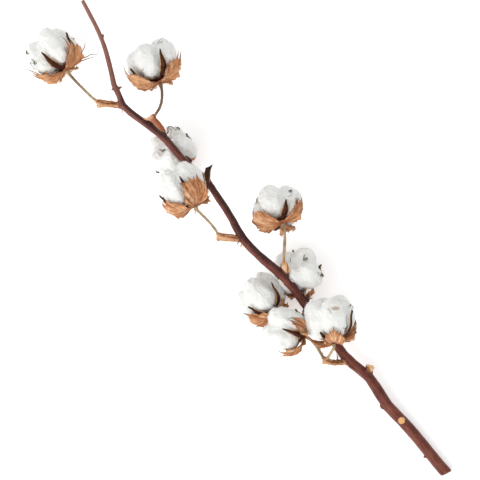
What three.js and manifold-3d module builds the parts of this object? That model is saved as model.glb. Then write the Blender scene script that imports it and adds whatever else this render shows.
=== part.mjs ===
// A cut, dried cotton branch with nine open bolls, lying on a level surface. Millimetres, +Z up.
// +X runs along the branch from its thick cut end to its thin tip.
import * as THREE from 'three';
import { mergeVertices } from 'three/addons/utils/BufferGeometryUtils.js';
import createManifold from 'manifold-3d';

const wasm = await createManifold();
wasm.setup();
const { Manifold } = wasm;

// ---- Driving dimensions ----

// Main stem, from the cut end to the tip: x, y, height of the centre line, diameter.
const STEM = [
  [0, 0.2, 5.6, 11.8], [12, 0.9, 5.9, 11.4], [43, 1.8, 7, 11], [60, 2.7, 7.5, 11], [73, 3.9, 8.2, 11.2],
  [92, 5.9, 9.8, 11.6], [108, 4.2, 11.2, 10.6], [126, 3.5, 13.4, 10.2], [144, 7.9, 16, 10.2],
  [158, 9.8, 18.2, 10], [174, 8.6, 21, 9.4], [198, 9, 26.5, 9.2], [224, 9.4, 33, 9],
  [248, 9.1, 38.6, 9], [262, 11, 41.4, 9.2], [286, 16.2, 44.2, 8.4], [312, 19, 45.4, 8.6],
  [330, 16, 46, 7.4], [346, 14.2, 46.2, 7], [362, 13.5, 46.4, 6.9], [376, 12, 46.5, 7.2],
  [404, 17.8, 46.5, 7], [440, 20.4, 46.2, 7.4], [464, 27.2, 45.8, 6.6], [489, 33, 45, 6.8],
  [497, 29.9, 44.6, 5.6], [508, 27.8, 44, 5.8], [521, 21.9, 43.2, 4.9], [540, 13.8, 42, 4.5],
  [555, 8.8, 41.4, 4.4], [574, 4.8, 40.6, 3.9], [595, 1.3, 40, 3.6],
];
const STEM_SIDES = 8;
const STEM_RINGS = 54;

// Twigs: cut stubs and short side branches, each a path with a diameter at both ends.
const TWIGS = [
  { path: [[127, 2, 14], [130, -1, 15.6], [132.5, -4.6, 17]], from: 9.5, to: 8.2 },
  { path: [[150, 9, 17], [155, 19, 25], [161, 25, 33], [166, 28.5, 39]], from: 7, to: 5.4 },
  { path: [[219, 9, 32], [216, 14, 29], [213, 19, 26]], from: 5.4, to: 4 },
  { path: [[225, 8, 32], [226, 1, 28], [226, -4.5, 22]], from: 5.4, to: 4.2 },
  { path: [[255, 9, 40], [261, 5, 42], [266.5, 1.5, 44]], from: 8.2, to: 7.2 },
  { path: [[309, 18, 45], [318, 27, 48], [328.2, 38.4, 50]], from: 7.4, to: 6.4 },
  { path: [[371, 13, 45], [376, 17, 40], [379, 20, 34]], from: 5.6, to: 4 },
  { path: [[438, 20, 46], [450, 17.6, 46.4], [463, 18.6, 46]], from: 8, to: 6.4 },
  { path: [[486, 32, 45], [496, 41, 45], [504.5, 51.6, 44.4]], from: 7.2, to: 6.2 },
];
const TWIG_SIDES = 6;
const TWIG_RINGS = 4;

// Bolls. seat: stalk end; heading, pitch: where the boll points, in degrees; size: overall factor;
// length: factor along the boll; turn: roll of the first valve; valves: length factor of each;
// opened: how far the second valve is bent out; bracts: roll, reach and width factor of each;
// stalk: path up to the seat. Roll 0 is the side that faces up.
const BOLLS = [
  { seat: [174.4, 10.8, 55], heading: -27, pitch: 2, size: 1.08, length: 1, turn: -28,
    valves: [0.6, 1, 0.8, 0.8], opened: 2,
    bracts: [[4, 0.92, 0.95], [128, 0.95, 1], [-112, 0.66, 0.85]],
    stalk: [[165, 27.5, 37.5], [166.5, 23, 46], [169, 17, 52.4]] },
  { seat: [195.7, 29, 47], heading: 32, pitch: 5, size: 0.98, length: 1, turn: 2,
    valves: [1, 0.8, 0.8, 0.6], opened: 0,
    bracts: [[24, 1.15, 0.55], [-58, 1, 0.9], [166, 0.8, 1]],
    stalk: [[164, 27, 36.5], [170, 27.6, 42], [179, 26.2, 45.4]] },
  { seat: [230.6, 37.8, 28.4], heading: 6, pitch: -14, size: 1, length: 1, turn: -42,
    valves: [0.85, 0.9, 0.8, 0.8], opened: 1,
    bracts: [[-54, 1, 1], [56, 0.6, 0.6], [168, 0.85, 1]],
    stalk: [[214, 17, 26.5], [212, 26, 23.5], [215, 33, 25]] },
  { seat: [243, -3.2, 6.4], heading: -15, pitch: 62, size: 1.03, length: 0.8, turn: -8,
    valves: [0.9, 0.9, 0.9, 0.9], opened: 0,
    bracts: [[62, 0.6, 0.8], [-58, 1, 1], [182, 0.8, 1]],
    stalk: [[226, -2, 24], [227, -5.5, 14], [233, -5.6, 6.2], [239, -4, 3]] },
  { seat: [298, -21.2, 37.3], heading: -20, pitch: -38, size: 1.06, length: 0.86, turn: 28,
    valves: [0.6, 0.8, 0.8, 0.55], opened: 1,
    bracts: [[-64, 1.05, 1], [60, 0.86, 0.7], [176, 0.75, 0.8]],
    stalk: [[265, 3, 43.6], [275, -5, 45], [285, -13.6, 45]] },
  { seat: [364, 37.1, 68], heading: -5, pitch: -13, size: 1.04, length: 1, turn: 8,
    valves: [1, 1, 0.8, 1], opened: 9,
    bracts: [[24, 1.1, 1], [-68, 1, 1.1], [152, 0.8, 1]],
    stalk: [[326.6, 36, 49.6], [337, 35, 57.6], [350, 36, 66]] },
  { seat: [408, 18.2, 6.6], heading: 15, pitch: 45, size: 1, length: 0.86, turn: 12,
    valves: [1, 1, 1, 1, 1], opened: 0,
    bracts: [[64, 0.55, 0.7], [-58, 0.8, 1], [182, 0.9, 1]],
    stalk: [[378.4, 19, 35.5], [382, 21, 24], [391, 18, 8.4], [400, 16.4, 3.2]] },
  { seat: [483.3, -9.7, 33], heading: -17, pitch: -12, size: 1.1, length: 0.88, turn: 28,
    valves: [1, 0.8, 0.8, 0.85], opened: 1,
    bracts: [[60, 0.9, 0.95], [-60, 1.04, 1], [180, 0.9, 1]],
    stalk: [[459.4, 17.8, 46.2], [464, 5, 44.6], [471.5, -3.4, 39]] },
  { seat: [549.8, 56.3, 30.4], heading: 1, pitch: -14, size: 1.05, length: 1, turn: -20,
    valves: [0.88, 1, 0.8, 0.8], opened: 1,
    bracts: [[58, 0.93, 1], [-76, 1, 0.9], [186, 0.9, 1]],
    stalk: [[502, 49.4, 44.4], [514, 52.4, 42.6], [531, 54.8, 35.4]] },
];
const STALK_DIAMETER = 2.5;
const SEAT_DIAMETER = 4.2;
const STALK_SIDES = 6;
const STALK_RINGS = 9;

// Boll shape, for a boll of size 1, from the seat up.
const COLLAR_RADIUS = 4.6;
const COLLAR_FROM = 0.5;
const COLLAR_TO = 2.3;
const BURR_RADIUS = 6.6;
const BURR_FROM = 3.1;
const BURR_TO = 4.6;
const VALVE_THICKNESS = 1;
const VALVE_WIDTH = 7.6;
const VALVE_PROFILE = [[2, 3.8], [9, 4.7], [16.2, 7.5], [20.4, 13], [21.6, 19.5], [22, 27]];
const BRACT_THICKNESS = 0.75;
const BRACT_LENGTH = 37;
const BRACT_SPREAD = 1.25;
const BRACT_LOBE = 6;
const BRACT_TEETH = 5;
const BRACT_PROFILE = [[0, 1.4], [4.5, 1.4], [12, 2.6], [19.4, 5.8], [24.6, 12.2], [27, 20.6], [27.4, 29],
  [26.6, 38], [25.6, 46]];
const LOCK_OUT = 12.4;
const LOCK_UP = 24;
const LOCK_RADIUS = 12;
const LOCK_HALF_LENGTH = 18.4;
const CORE_UP = 22;
const CORE_RADIUS = 12;
const CORE_HALF_LENGTH = 16.4;

const GAP = 0.45; // clear space kept round each piece
const FINENESS = 0.09; // steps smaller than this are smoothed away

// ---- Materials ----

function material(hex, roughness) {
  return new THREE.MeshStandardMaterial({ color: hex, roughness, side: THREE.DoubleSide });
}

const barkFinish = () => material(0x7c3f38, 0.6);
const bractFinish = () => material(0xc4905f, 0.75);
const burrFinish = () => material(0x4a2218, 0.5);
const lintFinish = () => material(0xf4f2ee, 0.95);

// ---- Small helpers ----

// The same row of numbers between 0 and 1 for the same seed.
function seeded(seed) {
  let state = seed * 7919 + 17;
  return () => {
    state = (state * 16807) % 2147483647;
    return state / 2147483647;
  };
}

function vector(values) {
  return new THREE.Vector3(...values);
}

// A closed three.js geometry as a manifold solid.
function solid(geometry) {
  const bare = geometry.clone();
  bare.deleteAttribute('normal');
  bare.deleteAttribute('uv');
  const merged = mergeVertices(bare, 1e-4);
  return new Manifold(new wasm.Mesh({
    numProp: 3,
    vertProperties: new Float32Array(merged.attributes.position.array),
    triVerts: new Uint32Array(merged.index.array),
  }));
}

// A shape and the room that it needs: itself, grown by the clear space along its normals.
function plain(body) {
  const bare = body.clone();
  bare.deleteAttribute('normal');
  bare.deleteAttribute('uv');
  const space = mergeVertices(bare, 1e-4);
  space.computeVertexNormals();
  const at = space.attributes.position;
  const out = space.attributes.normal;
  for (let i = 0; i < at.count; i += 1) {
    const p = new THREE.Vector3().fromBufferAttribute(at, i);
    p.addScaledVector(new THREE.Vector3().fromBufferAttribute(out, i), GAP);
    at.setXYZ(i, p.x, p.y, p.z);
  }
  return { body, space };
}

// A manifold solid back as a three.js geometry, moved by a matrix.
function geometryOf(made, matrix) {
  const mesh = made.getMesh();
  const geometry = new THREE.BufferGeometry();
  const count = mesh.vertProperties.length / mesh.numProp;
  const positions = new Float32Array(count * 3);
  for (let i = 0; i < count; i += 1) {
    const p = vector(mesh.vertProperties.slice(i * mesh.numProp, i * mesh.numProp + 3));
    p.applyMatrix4(matrix).toArray(positions, i * 3);
  }
  geometry.setAttribute('position', new THREE.BufferAttribute(positions, 3));
  geometry.setIndex(Array.from(mesh.triVerts));
  const flat = geometry.toNonIndexed();
  flat.computeVertexNormals();
  return flat;
}

function largest(made) {
  const bodies = made.decompose();
  return bodies.reduce((a, b) => (b.volume() > a.volume() ? b : a));
}

// A round rod bent along a smooth path. radiusAt gives the radius for 0 (start) to 1 (end).
function rod(points, radiusAt, sides, rings) {
  const curve = new THREE.CatmullRomCurve3(points.map(vector));
  const frames = curve.computeFrenetFrames(rings);
  const geometry = new THREE.CylinderGeometry(1, 1, 1, sides, rings);
  const at = geometry.attributes.position;
  for (let i = 0; i < at.count; i += 1) {
    const ring = Math.round((at.getY(i) + 0.5) * rings);
    const radius = radiusAt(ring / rings);
    const p = curve.getPointAt(ring / rings);
    p.addScaledVector(frames.normals[ring], at.getX(i) * radius);
    p.addScaledVector(frames.binormals[ring], -at.getZ(i) * radius);
    at.setXYZ(i, p.x, p.y, p.z);
  }
  return geometry;
}

// A small drop shape between two points: buds, scars, knots and spikes.
function drop(from, to, radius, tip) {
  const direction = vector(to).sub(vector(from));
  const geometry = new THREE.CylinderGeometry(tip, radius, direction.length(), 5, 1);
  geometry.translate(0, direction.length() / 2, 0);
  const turn = new THREE.Quaternion().setFromUnitVectors(new THREE.Vector3(0, 1, 0), direction.normalize());
  geometry.applyQuaternion(turn);
  geometry.translate(...from);
  return geometry;
}

// A thin closed sheet round the mid surface point(across, along), across -1 to 1, along 0 to 1,
// grown on every side by extra.
function sheetGeometry(point, columns, rows, thickness, extra) {
  const positions = [];
  const index = [];
  const grid = (columns + 1) * (rows + 1);
  const step = 0.02;
  for (const side of [0.5, -0.5]) {
    for (let row = 0; row <= rows; row += 1) {
      for (let column = 0; column <= columns; column += 1) {
        const u = (2 * column) / columns - 1;
        const v = row / rows;
        const across = point(u + step, v).sub(point(u - step, v)).normalize();
        const along = point(u, v + step).sub(point(u, v - step)).normalize();
        const normal = new THREE.Vector3().crossVectors(along, across).normalize();
        const place = point(u, v).addScaledVector(normal, side * (thickness + 2 * extra));
        if (column === 0 || column === columns) place.addScaledVector(across, Math.sign(u) * extra);
        if (row === 0 || row === rows) place.addScaledVector(along, Math.sign(v - 0.5) * extra);
        positions.push(...place);
      }
    }
  }
  const corner = (row, column) => row * (columns + 1) + column;
  const quad = (a, b, c, d) => index.push(a, b, c, a, c, d);
  for (let row = 0; row < rows; row += 1) {
    for (let column = 0; column < columns; column += 1) {
      const [a, b] = [corner(row, column), corner(row, column + 1)];
      const [c, d] = [corner(row + 1, column + 1), corner(row + 1, column)];
      index.push(a, c, b, a, d, c);
      index.push(grid + a, grid + b, grid + c, grid + a, grid + c, grid + d);
    }
  }
  for (let row = 0; row < rows; row += 1) {
    const [a, d] = [corner(row, 0), corner(row + 1, 0)];
    const [b, c] = [corner(row, columns), corner(row + 1, columns)];
    quad(a, grid + a, grid + d, d);
    quad(b, c, grid + c, grid + b);
  }
  for (let column = 0; column < columns; column += 1) {
    const [a, b] = [corner(0, column), corner(0, column + 1)];
    const [d, c] = [corner(rows, column), corner(rows, column + 1)];
    quad(a, b, grid + b, grid + a);
    quad(d, grid + d, grid + c, c);
  }
  const geometry = new THREE.BufferGeometry();
  geometry.setAttribute('position', new THREE.BufferAttribute(new Float32Array(positions), 3));
  geometry.setIndex(index);
  return geometry;
}

function sheet(point, columns, rows, thickness) {
  return {
    body: sheetGeometry(point, columns, rows, thickness, 0),
    space: sheetGeometry(point, columns, rows, thickness, GAP),
  };
}

// Moves each vertex of a geometry by a rule.
function reshape(geometry, rule) {
  const at = geometry.attributes.position;
  for (let i = 0; i < at.count; i += 1) {
    const p = rule(new THREE.Vector3().fromBufferAttribute(at, i));
    at.setXYZ(i, p.x, p.y, p.z);
  }
  return geometry;
}

// ---- The branch ----

function stemRadius(fraction) {
  const lengths = [0];
  for (let i = 1; i < STEM.length; i += 1) {
    lengths.push(lengths[i - 1] + vector(STEM[i].slice(0, 3)).distanceTo(vector(STEM[i - 1].slice(0, 3))));
  }
  const reach = fraction * lengths[lengths.length - 1];
  let i = 1;
  while (i < STEM.length - 1 && lengths[i] < reach) i += 1;
  const part = (reach - lengths[i - 1]) / (lengths[i] - lengths[i - 1]);
  return THREE.MathUtils.lerp(STEM[i - 1][3], STEM[i][3], THREE.MathUtils.clamp(part, 0, 1)) / 2;
}

function stemBody() {
  const stem = rod(STEM.map((row) => row.slice(0, 3)), stemRadius, STEM_SIDES, STEM_RINGS);
  // The thick end was cut at a slant.
  return reshape(stem, (p) => {
    if (p.x < 4) p.x += (p.y * 0.25 + (p.z - 5.6) * 0.2) * (1 - p.x / 4);
    return p;
  });
}

function stemMarks() {
  return [
    drop([25, 3, 7], [27, 8.6, 8.4], 2.4, 0.8), // bud
    drop([70, 3.6, 9], [70, 3.8, 14.7], 4.8, 4.1), // round cut scar
    drop([92, 6, 10], [93, 12.4, 10.6], 5.4, 2.4), // swollen node
    drop([488, 33, 45], [489, 37.6, 45.6], 3, 1.6),
    drop([506, 28, 44], [507, 32.4, 45], 2.2, 0.8), // knot with spurs
    drop([505, 28, 44], [503, 22.6, 45], 2, 0.7),
    drop([553, 9, 41.4], [555.6, 5.2, 42], 1.9, 0.7), // bud near the tip
    drop([228, 7, 34], [233.5, -1.4, 37], 1.5, 0.5), // dark spikes
    drop([224, 6.6, 34], [232, 2.6, 39.4], 1.3, 0.5),
    drop([222, 6, 33], [226.6, -1.6, 34], 1.3, 0.5),
  ];
}

function twigBody(twig) {
  const radiusAt = (f) => THREE.MathUtils.lerp(twig.from, twig.to, Math.min(1, f * 1.6)) / 2;
  const swollen = (f) => radiusAt(f) * (f > 0.75 ? 1.12 : 1);
  return rod(twig.path, swollen, TWIG_SIDES, TWIG_RINGS);
}

// The direction that a boll points in.
function axisOf(boll) {
  const heading = THREE.MathUtils.degToRad(boll.heading);
  const pitch = THREE.MathUtils.degToRad(boll.pitch);
  return new THREE.Vector3(Math.cos(heading) * Math.cos(pitch), Math.sin(heading) * Math.cos(pitch),
    Math.sin(pitch));
}

// The stalk runs straight for its last few millimetres, so its end is square to the boll.
function stalkBody(boll) {
  const axis = axisOf(boll);
  const back = (distance) => vector(boll.seat).addScaledVector(axis, -distance).toArray();
  const radiusAt = (f) => {
    const flare = THREE.MathUtils.smoothstep(f, 0.86, 1);
    return THREE.MathUtils.lerp(STALK_DIAMETER, SEAT_DIAMETER * boll.size, flare) / 2;
  };
  return rod([...boll.stalk, back(4), back(2), back(0)], radiusAt, STALK_SIDES, STALK_RINGS);
}

function branchShapes() {
  return [stemBody(), ...stemMarks(), ...TWIGS.map(twigBody), ...BOLLS.map(stalkBody)].map(plain);
}

// ---- A boll, in its own frame: z along the boll, x on the side that faces up ----

function stretch(boll, z) {
  return z > BURR_TO ? BURR_TO + (z - BURR_TO) * boll.length : z;
}

function ringCylinder(radius, from, to, sides) {
  const geometry = new THREE.CylinderGeometry(radius, radius, to - from, sides);
  geometry.rotateX(Math.PI / 2);
  geometry.translate(0, 0, (from + to) / 2);
  return geometry;
}

function profileCurve(profile) {
  return new THREE.CatmullRomCurve3(profile.map(([r, z]) => new THREE.Vector3(r, 0, z)));
}

const bractCurve = profileCurve(BRACT_PROFILE);
const bractCurveLength = bractCurve.getLength();
const valveCurve = profileCurve(VALVE_PROFILE);

// A bract: a heart-shaped leaf with long teeth, wrapped round the boll from below.
function bractBody(boll, [roll, factor, width], random) {
  const flare = 1.5 + 4 * random();
  const lean = 0.25 * (random() - 0.5);
  const phase = 6 * random();
  const reach = BRACT_LENGTH * factor * (0.95 + 0.1 * random());
  const point = (u, v) => {
    const edge = 1 - 0.52 * Math.pow(Math.abs(u), 2.2);
    const tooth = 1 - 0.17 * (0.5 + 0.5 * Math.cos(Math.PI * BRACT_TEETH * (u + 1)));
    const length = reach * edge * THREE.MathUtils.lerp(1, tooth, v * v);
    const far = 2.6 + v * (length - 2.6);
    const turn = u * width * BRACT_SPREAD * THREE.MathUtils.lerp(1, 0.82, v);
    const place = bractCurve.getPointAt(THREE.MathUtils.clamp(far / bractCurveLength, 0, 1));
    const around = turn * THREE.MathUtils.clamp(far / Math.max(place.x, 4), 0.6, 1.15);
    const wave = 1.1 * Math.sin(4.4 * u + phase) * v * v;
    const out = place.x + wave + flare * Math.pow(v, 3) * (0.4 + 0.6 * u * u);
    const angle = THREE.MathUtils.degToRad(roll) + around * 0.62 + lean * v;
    const lobe = BRACT_LOBE * u * u * v; // the leaf's two base lobes hang back past the stalk's end
    return new THREE.Vector3(out * Math.cos(angle), out * Math.sin(angle), stretch(boll, place.z) - lobe);
  };
  return sheet(point, 2 * BRACT_TEETH, 3, BRACT_THICKNESS);
}

// A burr valve: a stiff pointed boat, keeled outwards, that stands between two locks.
function valveBody(boll, roll, opened, length, random) {
  const lean = 0.1 * (random() - 0.5);
  const point = (u, v) => {
    const place = valveCurve.getPoint(THREE.MathUtils.clamp(v * length, 0, 1));
    const taper = v < 0.45 ? 0.45 + 1.22 * v : Math.pow(Math.max(0, 1 - (v - 0.45) / 0.57), 0.8);
    // A valve that is bent far out stays broad up to its blunt end.
    const blunt = THREE.MathUtils.clamp((opened - 2) / 7, 0, 1) * THREE.MathUtils.smoothstep(v, 0.4, 0.8);
    const broad = THREE.MathUtils.lerp(taper, 1.05, blunt);
    const half = Math.max(0.7, (VALVE_WIDTH / 2) * broad * share(boll));
    const angle = THREE.MathUtils.degToRad(roll) + lean * v;
    const out = new THREE.Vector3(Math.cos(angle), Math.sin(angle), 0);
    // It also turns its face upwards.
    const twist = 0.13 * Math.max(0, opened - 2) * THREE.MathUtils.smoothstep(v, 0.35, 0.9);
    const side = new THREE.Vector3(-Math.sin(angle), Math.cos(angle), 0)
      .applyAxisAngle(new THREE.Vector3(0, 0, 1), -twist);
    const reach = place.x + opened * v ** 3 - 1.3 * Math.abs(u) * Math.min(1, 2 * v);
    const p = out.clone().multiplyScalar(reach);
    p.z = stretch(boll, place.z) + 0.8 * Math.abs(u);
    return p.addScaledVector(side, u * half);
  };
  return sheet(point, 2, 3, VALVE_THICKNESS);
}

// Five locks and valves are each narrower than four.
function share(boll) {
  return 4 / boll.valves.length;
}

function lockBody(boll, angle, random) {
  const phase = 6 * random();
  const swell = 0.96 + 0.08 * random();
  const geometry = new THREE.SphereGeometry(1, 8, 6);
  geometry.rotateX(Math.PI / 2);
  return reshape(geometry, (p) => {
    const wave = 1 + 0.035 * Math.sin(3 * Math.atan2(p.y, p.x) + phase) * (1 - p.z * p.z)
      + 0.03 * Math.sin(5 * p.z + phase);
    p.multiplyScalar(wave * swell);
    const radius = LOCK_RADIUS * share(boll);
    p.set(p.x * radius + LOCK_OUT + LOCK_RADIUS - radius, p.y * radius, p.z * LOCK_HALF_LENGTH + LOCK_UP);
    p.applyAxisAngle(new THREE.Vector3(0, 0, 1), angle);
    p.z = stretch(boll, p.z);
    return p;
  });
}

function coreBody(boll) {
  const geometry = new THREE.SphereGeometry(1, 6, 5);
  geometry.rotateX(Math.PI / 2);
  return reshape(geometry, (p) => {
    p.set(p.x * CORE_RADIUS, p.y * CORE_RADIUS, stretch(boll, p.z * CORE_HALF_LENGTH + CORE_UP));
    return p;
  });
}

function bractShapes(boll, random) {
  const collar = plain(ringCylinder(COLLAR_RADIUS, COLLAR_FROM, COLLAR_TO, 6));
  return [collar, ...boll.bracts.map((bract) => bractBody(boll, bract, random))];
}

function burrShapes(boll, random) {
  const shapes = [plain(ringCylinder(BURR_RADIUS, BURR_FROM, BURR_TO, 7))];
  boll.valves.forEach((length, i) => {
    const opened = i === 1 ? boll.opened : 0;
    shapes.push(valveBody(boll, boll.turn + (360 * i) / boll.valves.length, opened, length, random));
  });
  return shapes;
}

function cottonShapes(boll, random) {
  const shapes = [plain(coreBody(boll))];
  boll.valves.forEach((length, i) => {
    const angle = THREE.MathUtils.degToRad(boll.turn + (360 * (i + 0.5)) / boll.valves.length);
    shapes.push(plain(lockBody(boll, angle, random)));
  });
  return shapes;
}

// The turn and place of a boll's own frame.
function poseOf(boll) {
  const axis = axisOf(boll);
  const up = new THREE.Vector3(0, 0, 1).addScaledVector(axis, -axis.z).normalize();
  const side = new THREE.Vector3().crossVectors(axis, up);
  const turn = new THREE.Matrix4().makeBasis(up, side, axis);
  return { position: vector(boll.seat), quaternion: new THREE.Quaternion().setFromRotationMatrix(turn) };
}

// ---- Putting it together ----

const branch = new THREE.Group();
branch.name = 'cotton_branch';
const taken = []; // rooms of the pieces already made

// Joins a piece's shapes, cuts it clear of the pieces before it and of the surface below.
function makePiece(shapes, matrix) {
  const placed = (kind) => Manifold.union(
    shapes.map((shape) => solid(shape[kind].clone().applyMatrix4(matrix))),
  );
  const whole = placed('body');
  const box = whole.boundingBox();
  const near = taken.filter((other) => [0, 1, 2].every(
    (k) => other.box.min[k] < box.max[k] && other.box.max[k] > box.min[k],
  ));
  const cut = near.length ? whole.subtract(Manifold.union(near.map((other) => other.space))) : whole;
  const space = placed('space');
  taken.push({ space, box: space.boundingBox() });
  return largest(cut.trimByPlane([0, 0, 1], 0).simplify(FINENESS));
}

function addMesh(group, name, made, matrix, finish) {
  const mesh = new THREE.Mesh(geometryOf(made, matrix), finish);
  mesh.name = name;
  group.add(mesh);
}

const still = new THREE.Matrix4();
addMesh(branch, 'branch', makePiece(branchShapes(), still), still, barkFinish());

const heads = BOLLS.map((boll, i) => {
  const group = new THREE.Group();
  group.name = 'boll_' + (i + 1);
  const pose = poseOf(boll);
  group.position.copy(pose.position);
  group.quaternion.copy(pose.quaternion);
  group.scale.setScalar(boll.size);
  group.updateMatrix();
  branch.add(group);
  return { boll, group, random: seeded(i + 3), matrix: group.matrix.clone(),
    inverse: group.matrix.clone().invert() };
});

for (const [name, shapes, finish] of [
  ['burr', burrShapes, burrFinish],
  ['bracts', bractShapes, bractFinish],
  ['cotton', cottonShapes, lintFinish],
]) {
  for (const head of heads) {
    const made = makePiece(shapes(head.boll, head.random), head.matrix);
    addMesh(head.group, head.group.name + '_' + name, made, head.inverse, finish());
  }
}

// The origin is under the middle of the branch, on the surface that it lies on.
branch.updateMatrixWorld(true);
const extent = new THREE.Box3().setFromObject(branch, true);
const middle = extent.getCenter(new THREE.Vector3());
branch.position.set(-middle.x, -middle.y, -extent.min.z);

export default branch;
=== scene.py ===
"""A cut, dried cotton branch with nine open bolls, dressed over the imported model.

Each boll's place, direction and size are read from its bracts in the frame. The bracts, burr
valves and lint then grow from the same rules as the solids, with their veins, teeth and fibres.
"""

import math

import bmesh
import bpy
import numpy as np
from bpy.props import FloatProperty, FloatVectorProperty, IntProperty, PointerProperty
from mathutils import Matrix, Quaternion, Vector, noise
from mathutils.kdtree import KDTree


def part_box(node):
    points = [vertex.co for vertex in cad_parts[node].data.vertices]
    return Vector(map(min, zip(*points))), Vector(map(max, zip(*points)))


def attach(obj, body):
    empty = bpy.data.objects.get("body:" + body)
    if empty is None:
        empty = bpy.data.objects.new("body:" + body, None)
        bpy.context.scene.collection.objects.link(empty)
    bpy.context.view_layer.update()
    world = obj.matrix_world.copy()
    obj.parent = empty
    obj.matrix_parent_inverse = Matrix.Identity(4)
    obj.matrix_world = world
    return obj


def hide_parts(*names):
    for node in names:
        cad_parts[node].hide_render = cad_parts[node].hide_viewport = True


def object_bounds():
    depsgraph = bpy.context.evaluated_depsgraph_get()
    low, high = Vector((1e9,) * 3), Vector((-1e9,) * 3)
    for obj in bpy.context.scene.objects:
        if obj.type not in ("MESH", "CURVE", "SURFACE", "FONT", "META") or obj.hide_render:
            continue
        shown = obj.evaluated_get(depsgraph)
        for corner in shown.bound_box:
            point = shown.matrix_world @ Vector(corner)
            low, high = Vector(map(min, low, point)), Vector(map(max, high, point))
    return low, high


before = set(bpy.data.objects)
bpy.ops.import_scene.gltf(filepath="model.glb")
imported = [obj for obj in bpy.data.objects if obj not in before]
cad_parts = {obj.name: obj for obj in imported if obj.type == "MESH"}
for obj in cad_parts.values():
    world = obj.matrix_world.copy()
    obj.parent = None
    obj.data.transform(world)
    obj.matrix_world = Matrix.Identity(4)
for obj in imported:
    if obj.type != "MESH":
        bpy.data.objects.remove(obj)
CAD_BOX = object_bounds()

bl_info = {
    "name": "Cotton Branch",
    "version": (1, 0, 0),
    "blender": (4, 5, 0),
    "location": "View3D > Sidebar > Cotton Branch",
    "description": "Dresses a cut cotton branch with bark, papery bracts, woody burrs and lint",
    "category": "Object",
}

MM = 0.001
UP = Vector((0, 0, 1))
FLOOR_GAP = 0.4 * MM  # thin sheets keep this far off the floor

# How each boll grew, in the order of its nodes: roll of the first burr valve, length of each,
# how far the second one is bent out, length factor of the boll, how wide the creases are that
# its lint closes, and roll, reach and width of each bract, with a factor for short teeth.
BOLLS = [
    (-28, (0.6, 1, 0.8, 0.8), 2, 1, 0.5,
     [(4, 0.92, 0.95, 0.5), (128, 0.95, 1), (-112, 0.66, 0.85)]),
    (2, (1, 0.8, 0.8, 0.6), 0, 1, 1, [(24, 1.15, 0.55), (-58, 1, 0.9), (166, 0.8, 1)]),
    (-42, (0.85, 0.9, 0.8, 0.8), 1, 1, 1, [(-54, 1, 1), (56, 0.6, 0.6), (168, 0.85, 1)]),
    (-8, (0.9, 0.9, 0.9, 0.9), 0, 0.8, 2.2, [(62, 0.6, 0.8), (-58, 1, 1), (182, 0.8, 1)]),
    (28, (0.6, 0.8, 0.8, 0.55), 1, 0.86, 1, [(-64, 1.05, 1), (60, 0.86, 0.7), (176, 0.75, 0.8)]),
    (8, (1, 1, 0.8, 1), 9, 1, 1, [(24, 1.1, 1, 0.6), (-68, 1, 1.1), (152, 0.8, 1)]),
    (12, (1, 1, 1, 1, 1), 0, 0.86, 1.6, [(64, 0.55, 0.7), (-58, 0.8, 1), (182, 0.9, 1)]),
    (28, (1, 0.8, 0.8, 0.85), 1, 0.88, 1, [(60, 0.9, 0.95), (-60, 1.04, 1), (180, 0.9, 1)]),
    (-20, (0.88, 1, 0.8, 0.8), 1, 1, 1, [(58, 0.93, 1), (-76, 1, 0.9), (186, 0.9, 1)]),
]

# The main stem from its cut end to its tip: x, y, height of the middle, diameter, in
# millimetres from the middle of the cut end, and where the first boll sits in that measure.
STEM = [
    (0, 0.2, 5.6, 11.8), (12, 0.9, 5.9, 11.4), (43, 1.8, 7, 11), (60, 2.7, 7.5, 11),
    (73, 3.9, 8.2, 11.2), (92, 5.9, 9.8, 11.6), (108, 4.2, 11.2, 10.6), (126, 3.5, 13.4, 10.2),
    (144, 7.9, 16, 10.2), (158, 9.8, 18.2, 10), (174, 8.6, 21, 9.4), (198, 9, 26.5, 9.2),
    (224, 9.4, 33, 9), (248, 9.1, 38.6, 9), (262, 11, 41.4, 9.2), (286, 16.2, 44.2, 8.4),
    (312, 19, 45.4, 8.6), (330, 16, 46, 7.4), (346, 14.2, 46.2, 7), (362, 13.5, 46.4, 6.9),
    (376, 12, 46.5, 7.2), (404, 17.8, 46.5, 7), (440, 20.4, 46.2, 7.4), (464, 27.2, 45.8, 6.6),
    (489, 33, 45, 6.8), (497, 29.9, 44.6, 5.6), (508, 27.8, 44, 5.8), (521, 21.9, 43.2, 4.9),
    (540, 13.8, 42, 4.5), (555, 8.8, 41.4, 4.4), (574, 4.8, 40.6, 3.9), (595, 1.3, 40, 3.6),
]
FIRST_SEAT = (174.4, 10.8, 55)

# The stubs and twigs beside the stem, in the same measure: path, diameter at the stem and at
# the end, how red the bark of each still is, and how far its end flares, in millimetres.
TWIGS = [
    ([(127, 2, 14), (130, -1, 15.6), (132.5, -4.6, 17)], 9.5, 8.2, 0, 0),
    ([(150, 9, 17), (155, 19, 25), (161, 25, 33), (166, 28.5, 39)], 7, 5.4, 0.1, 0.3),
    ([(219, 9, 32), (216, 14, 29), (213, 19, 26)], 5.4, 4, 0.4, 0),
    ([(225, 8, 32), (226, 1, 28), (226, -4.5, 22)], 5.4, 4.2, 0.4, 0),
    ([(255, 9, 40), (261, 5, 42), (266.5, 1.5, 44)], 8.2, 7.2, 0, -0.5),
    ([(309, 18, 45), (318, 27, 48), (328.2, 38.4, 50)], 7.4, 6.4, 0.15, 0.3),
    ([(371, 13, 45), (376, 17, 40), (379, 20, 34)], 5.6, 4, 0.4, 0),
    ([(438, 20, 46), (450, 17.6, 46.4), (463, 18.6, 46)], 8, 6.4, 0.9, 0.8),
    ([(486, 32, 45), (496, 41, 45), (504.5, 51.6, 44.4)], 7.2, 6.2, 0.1, 0.5),
]
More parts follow.
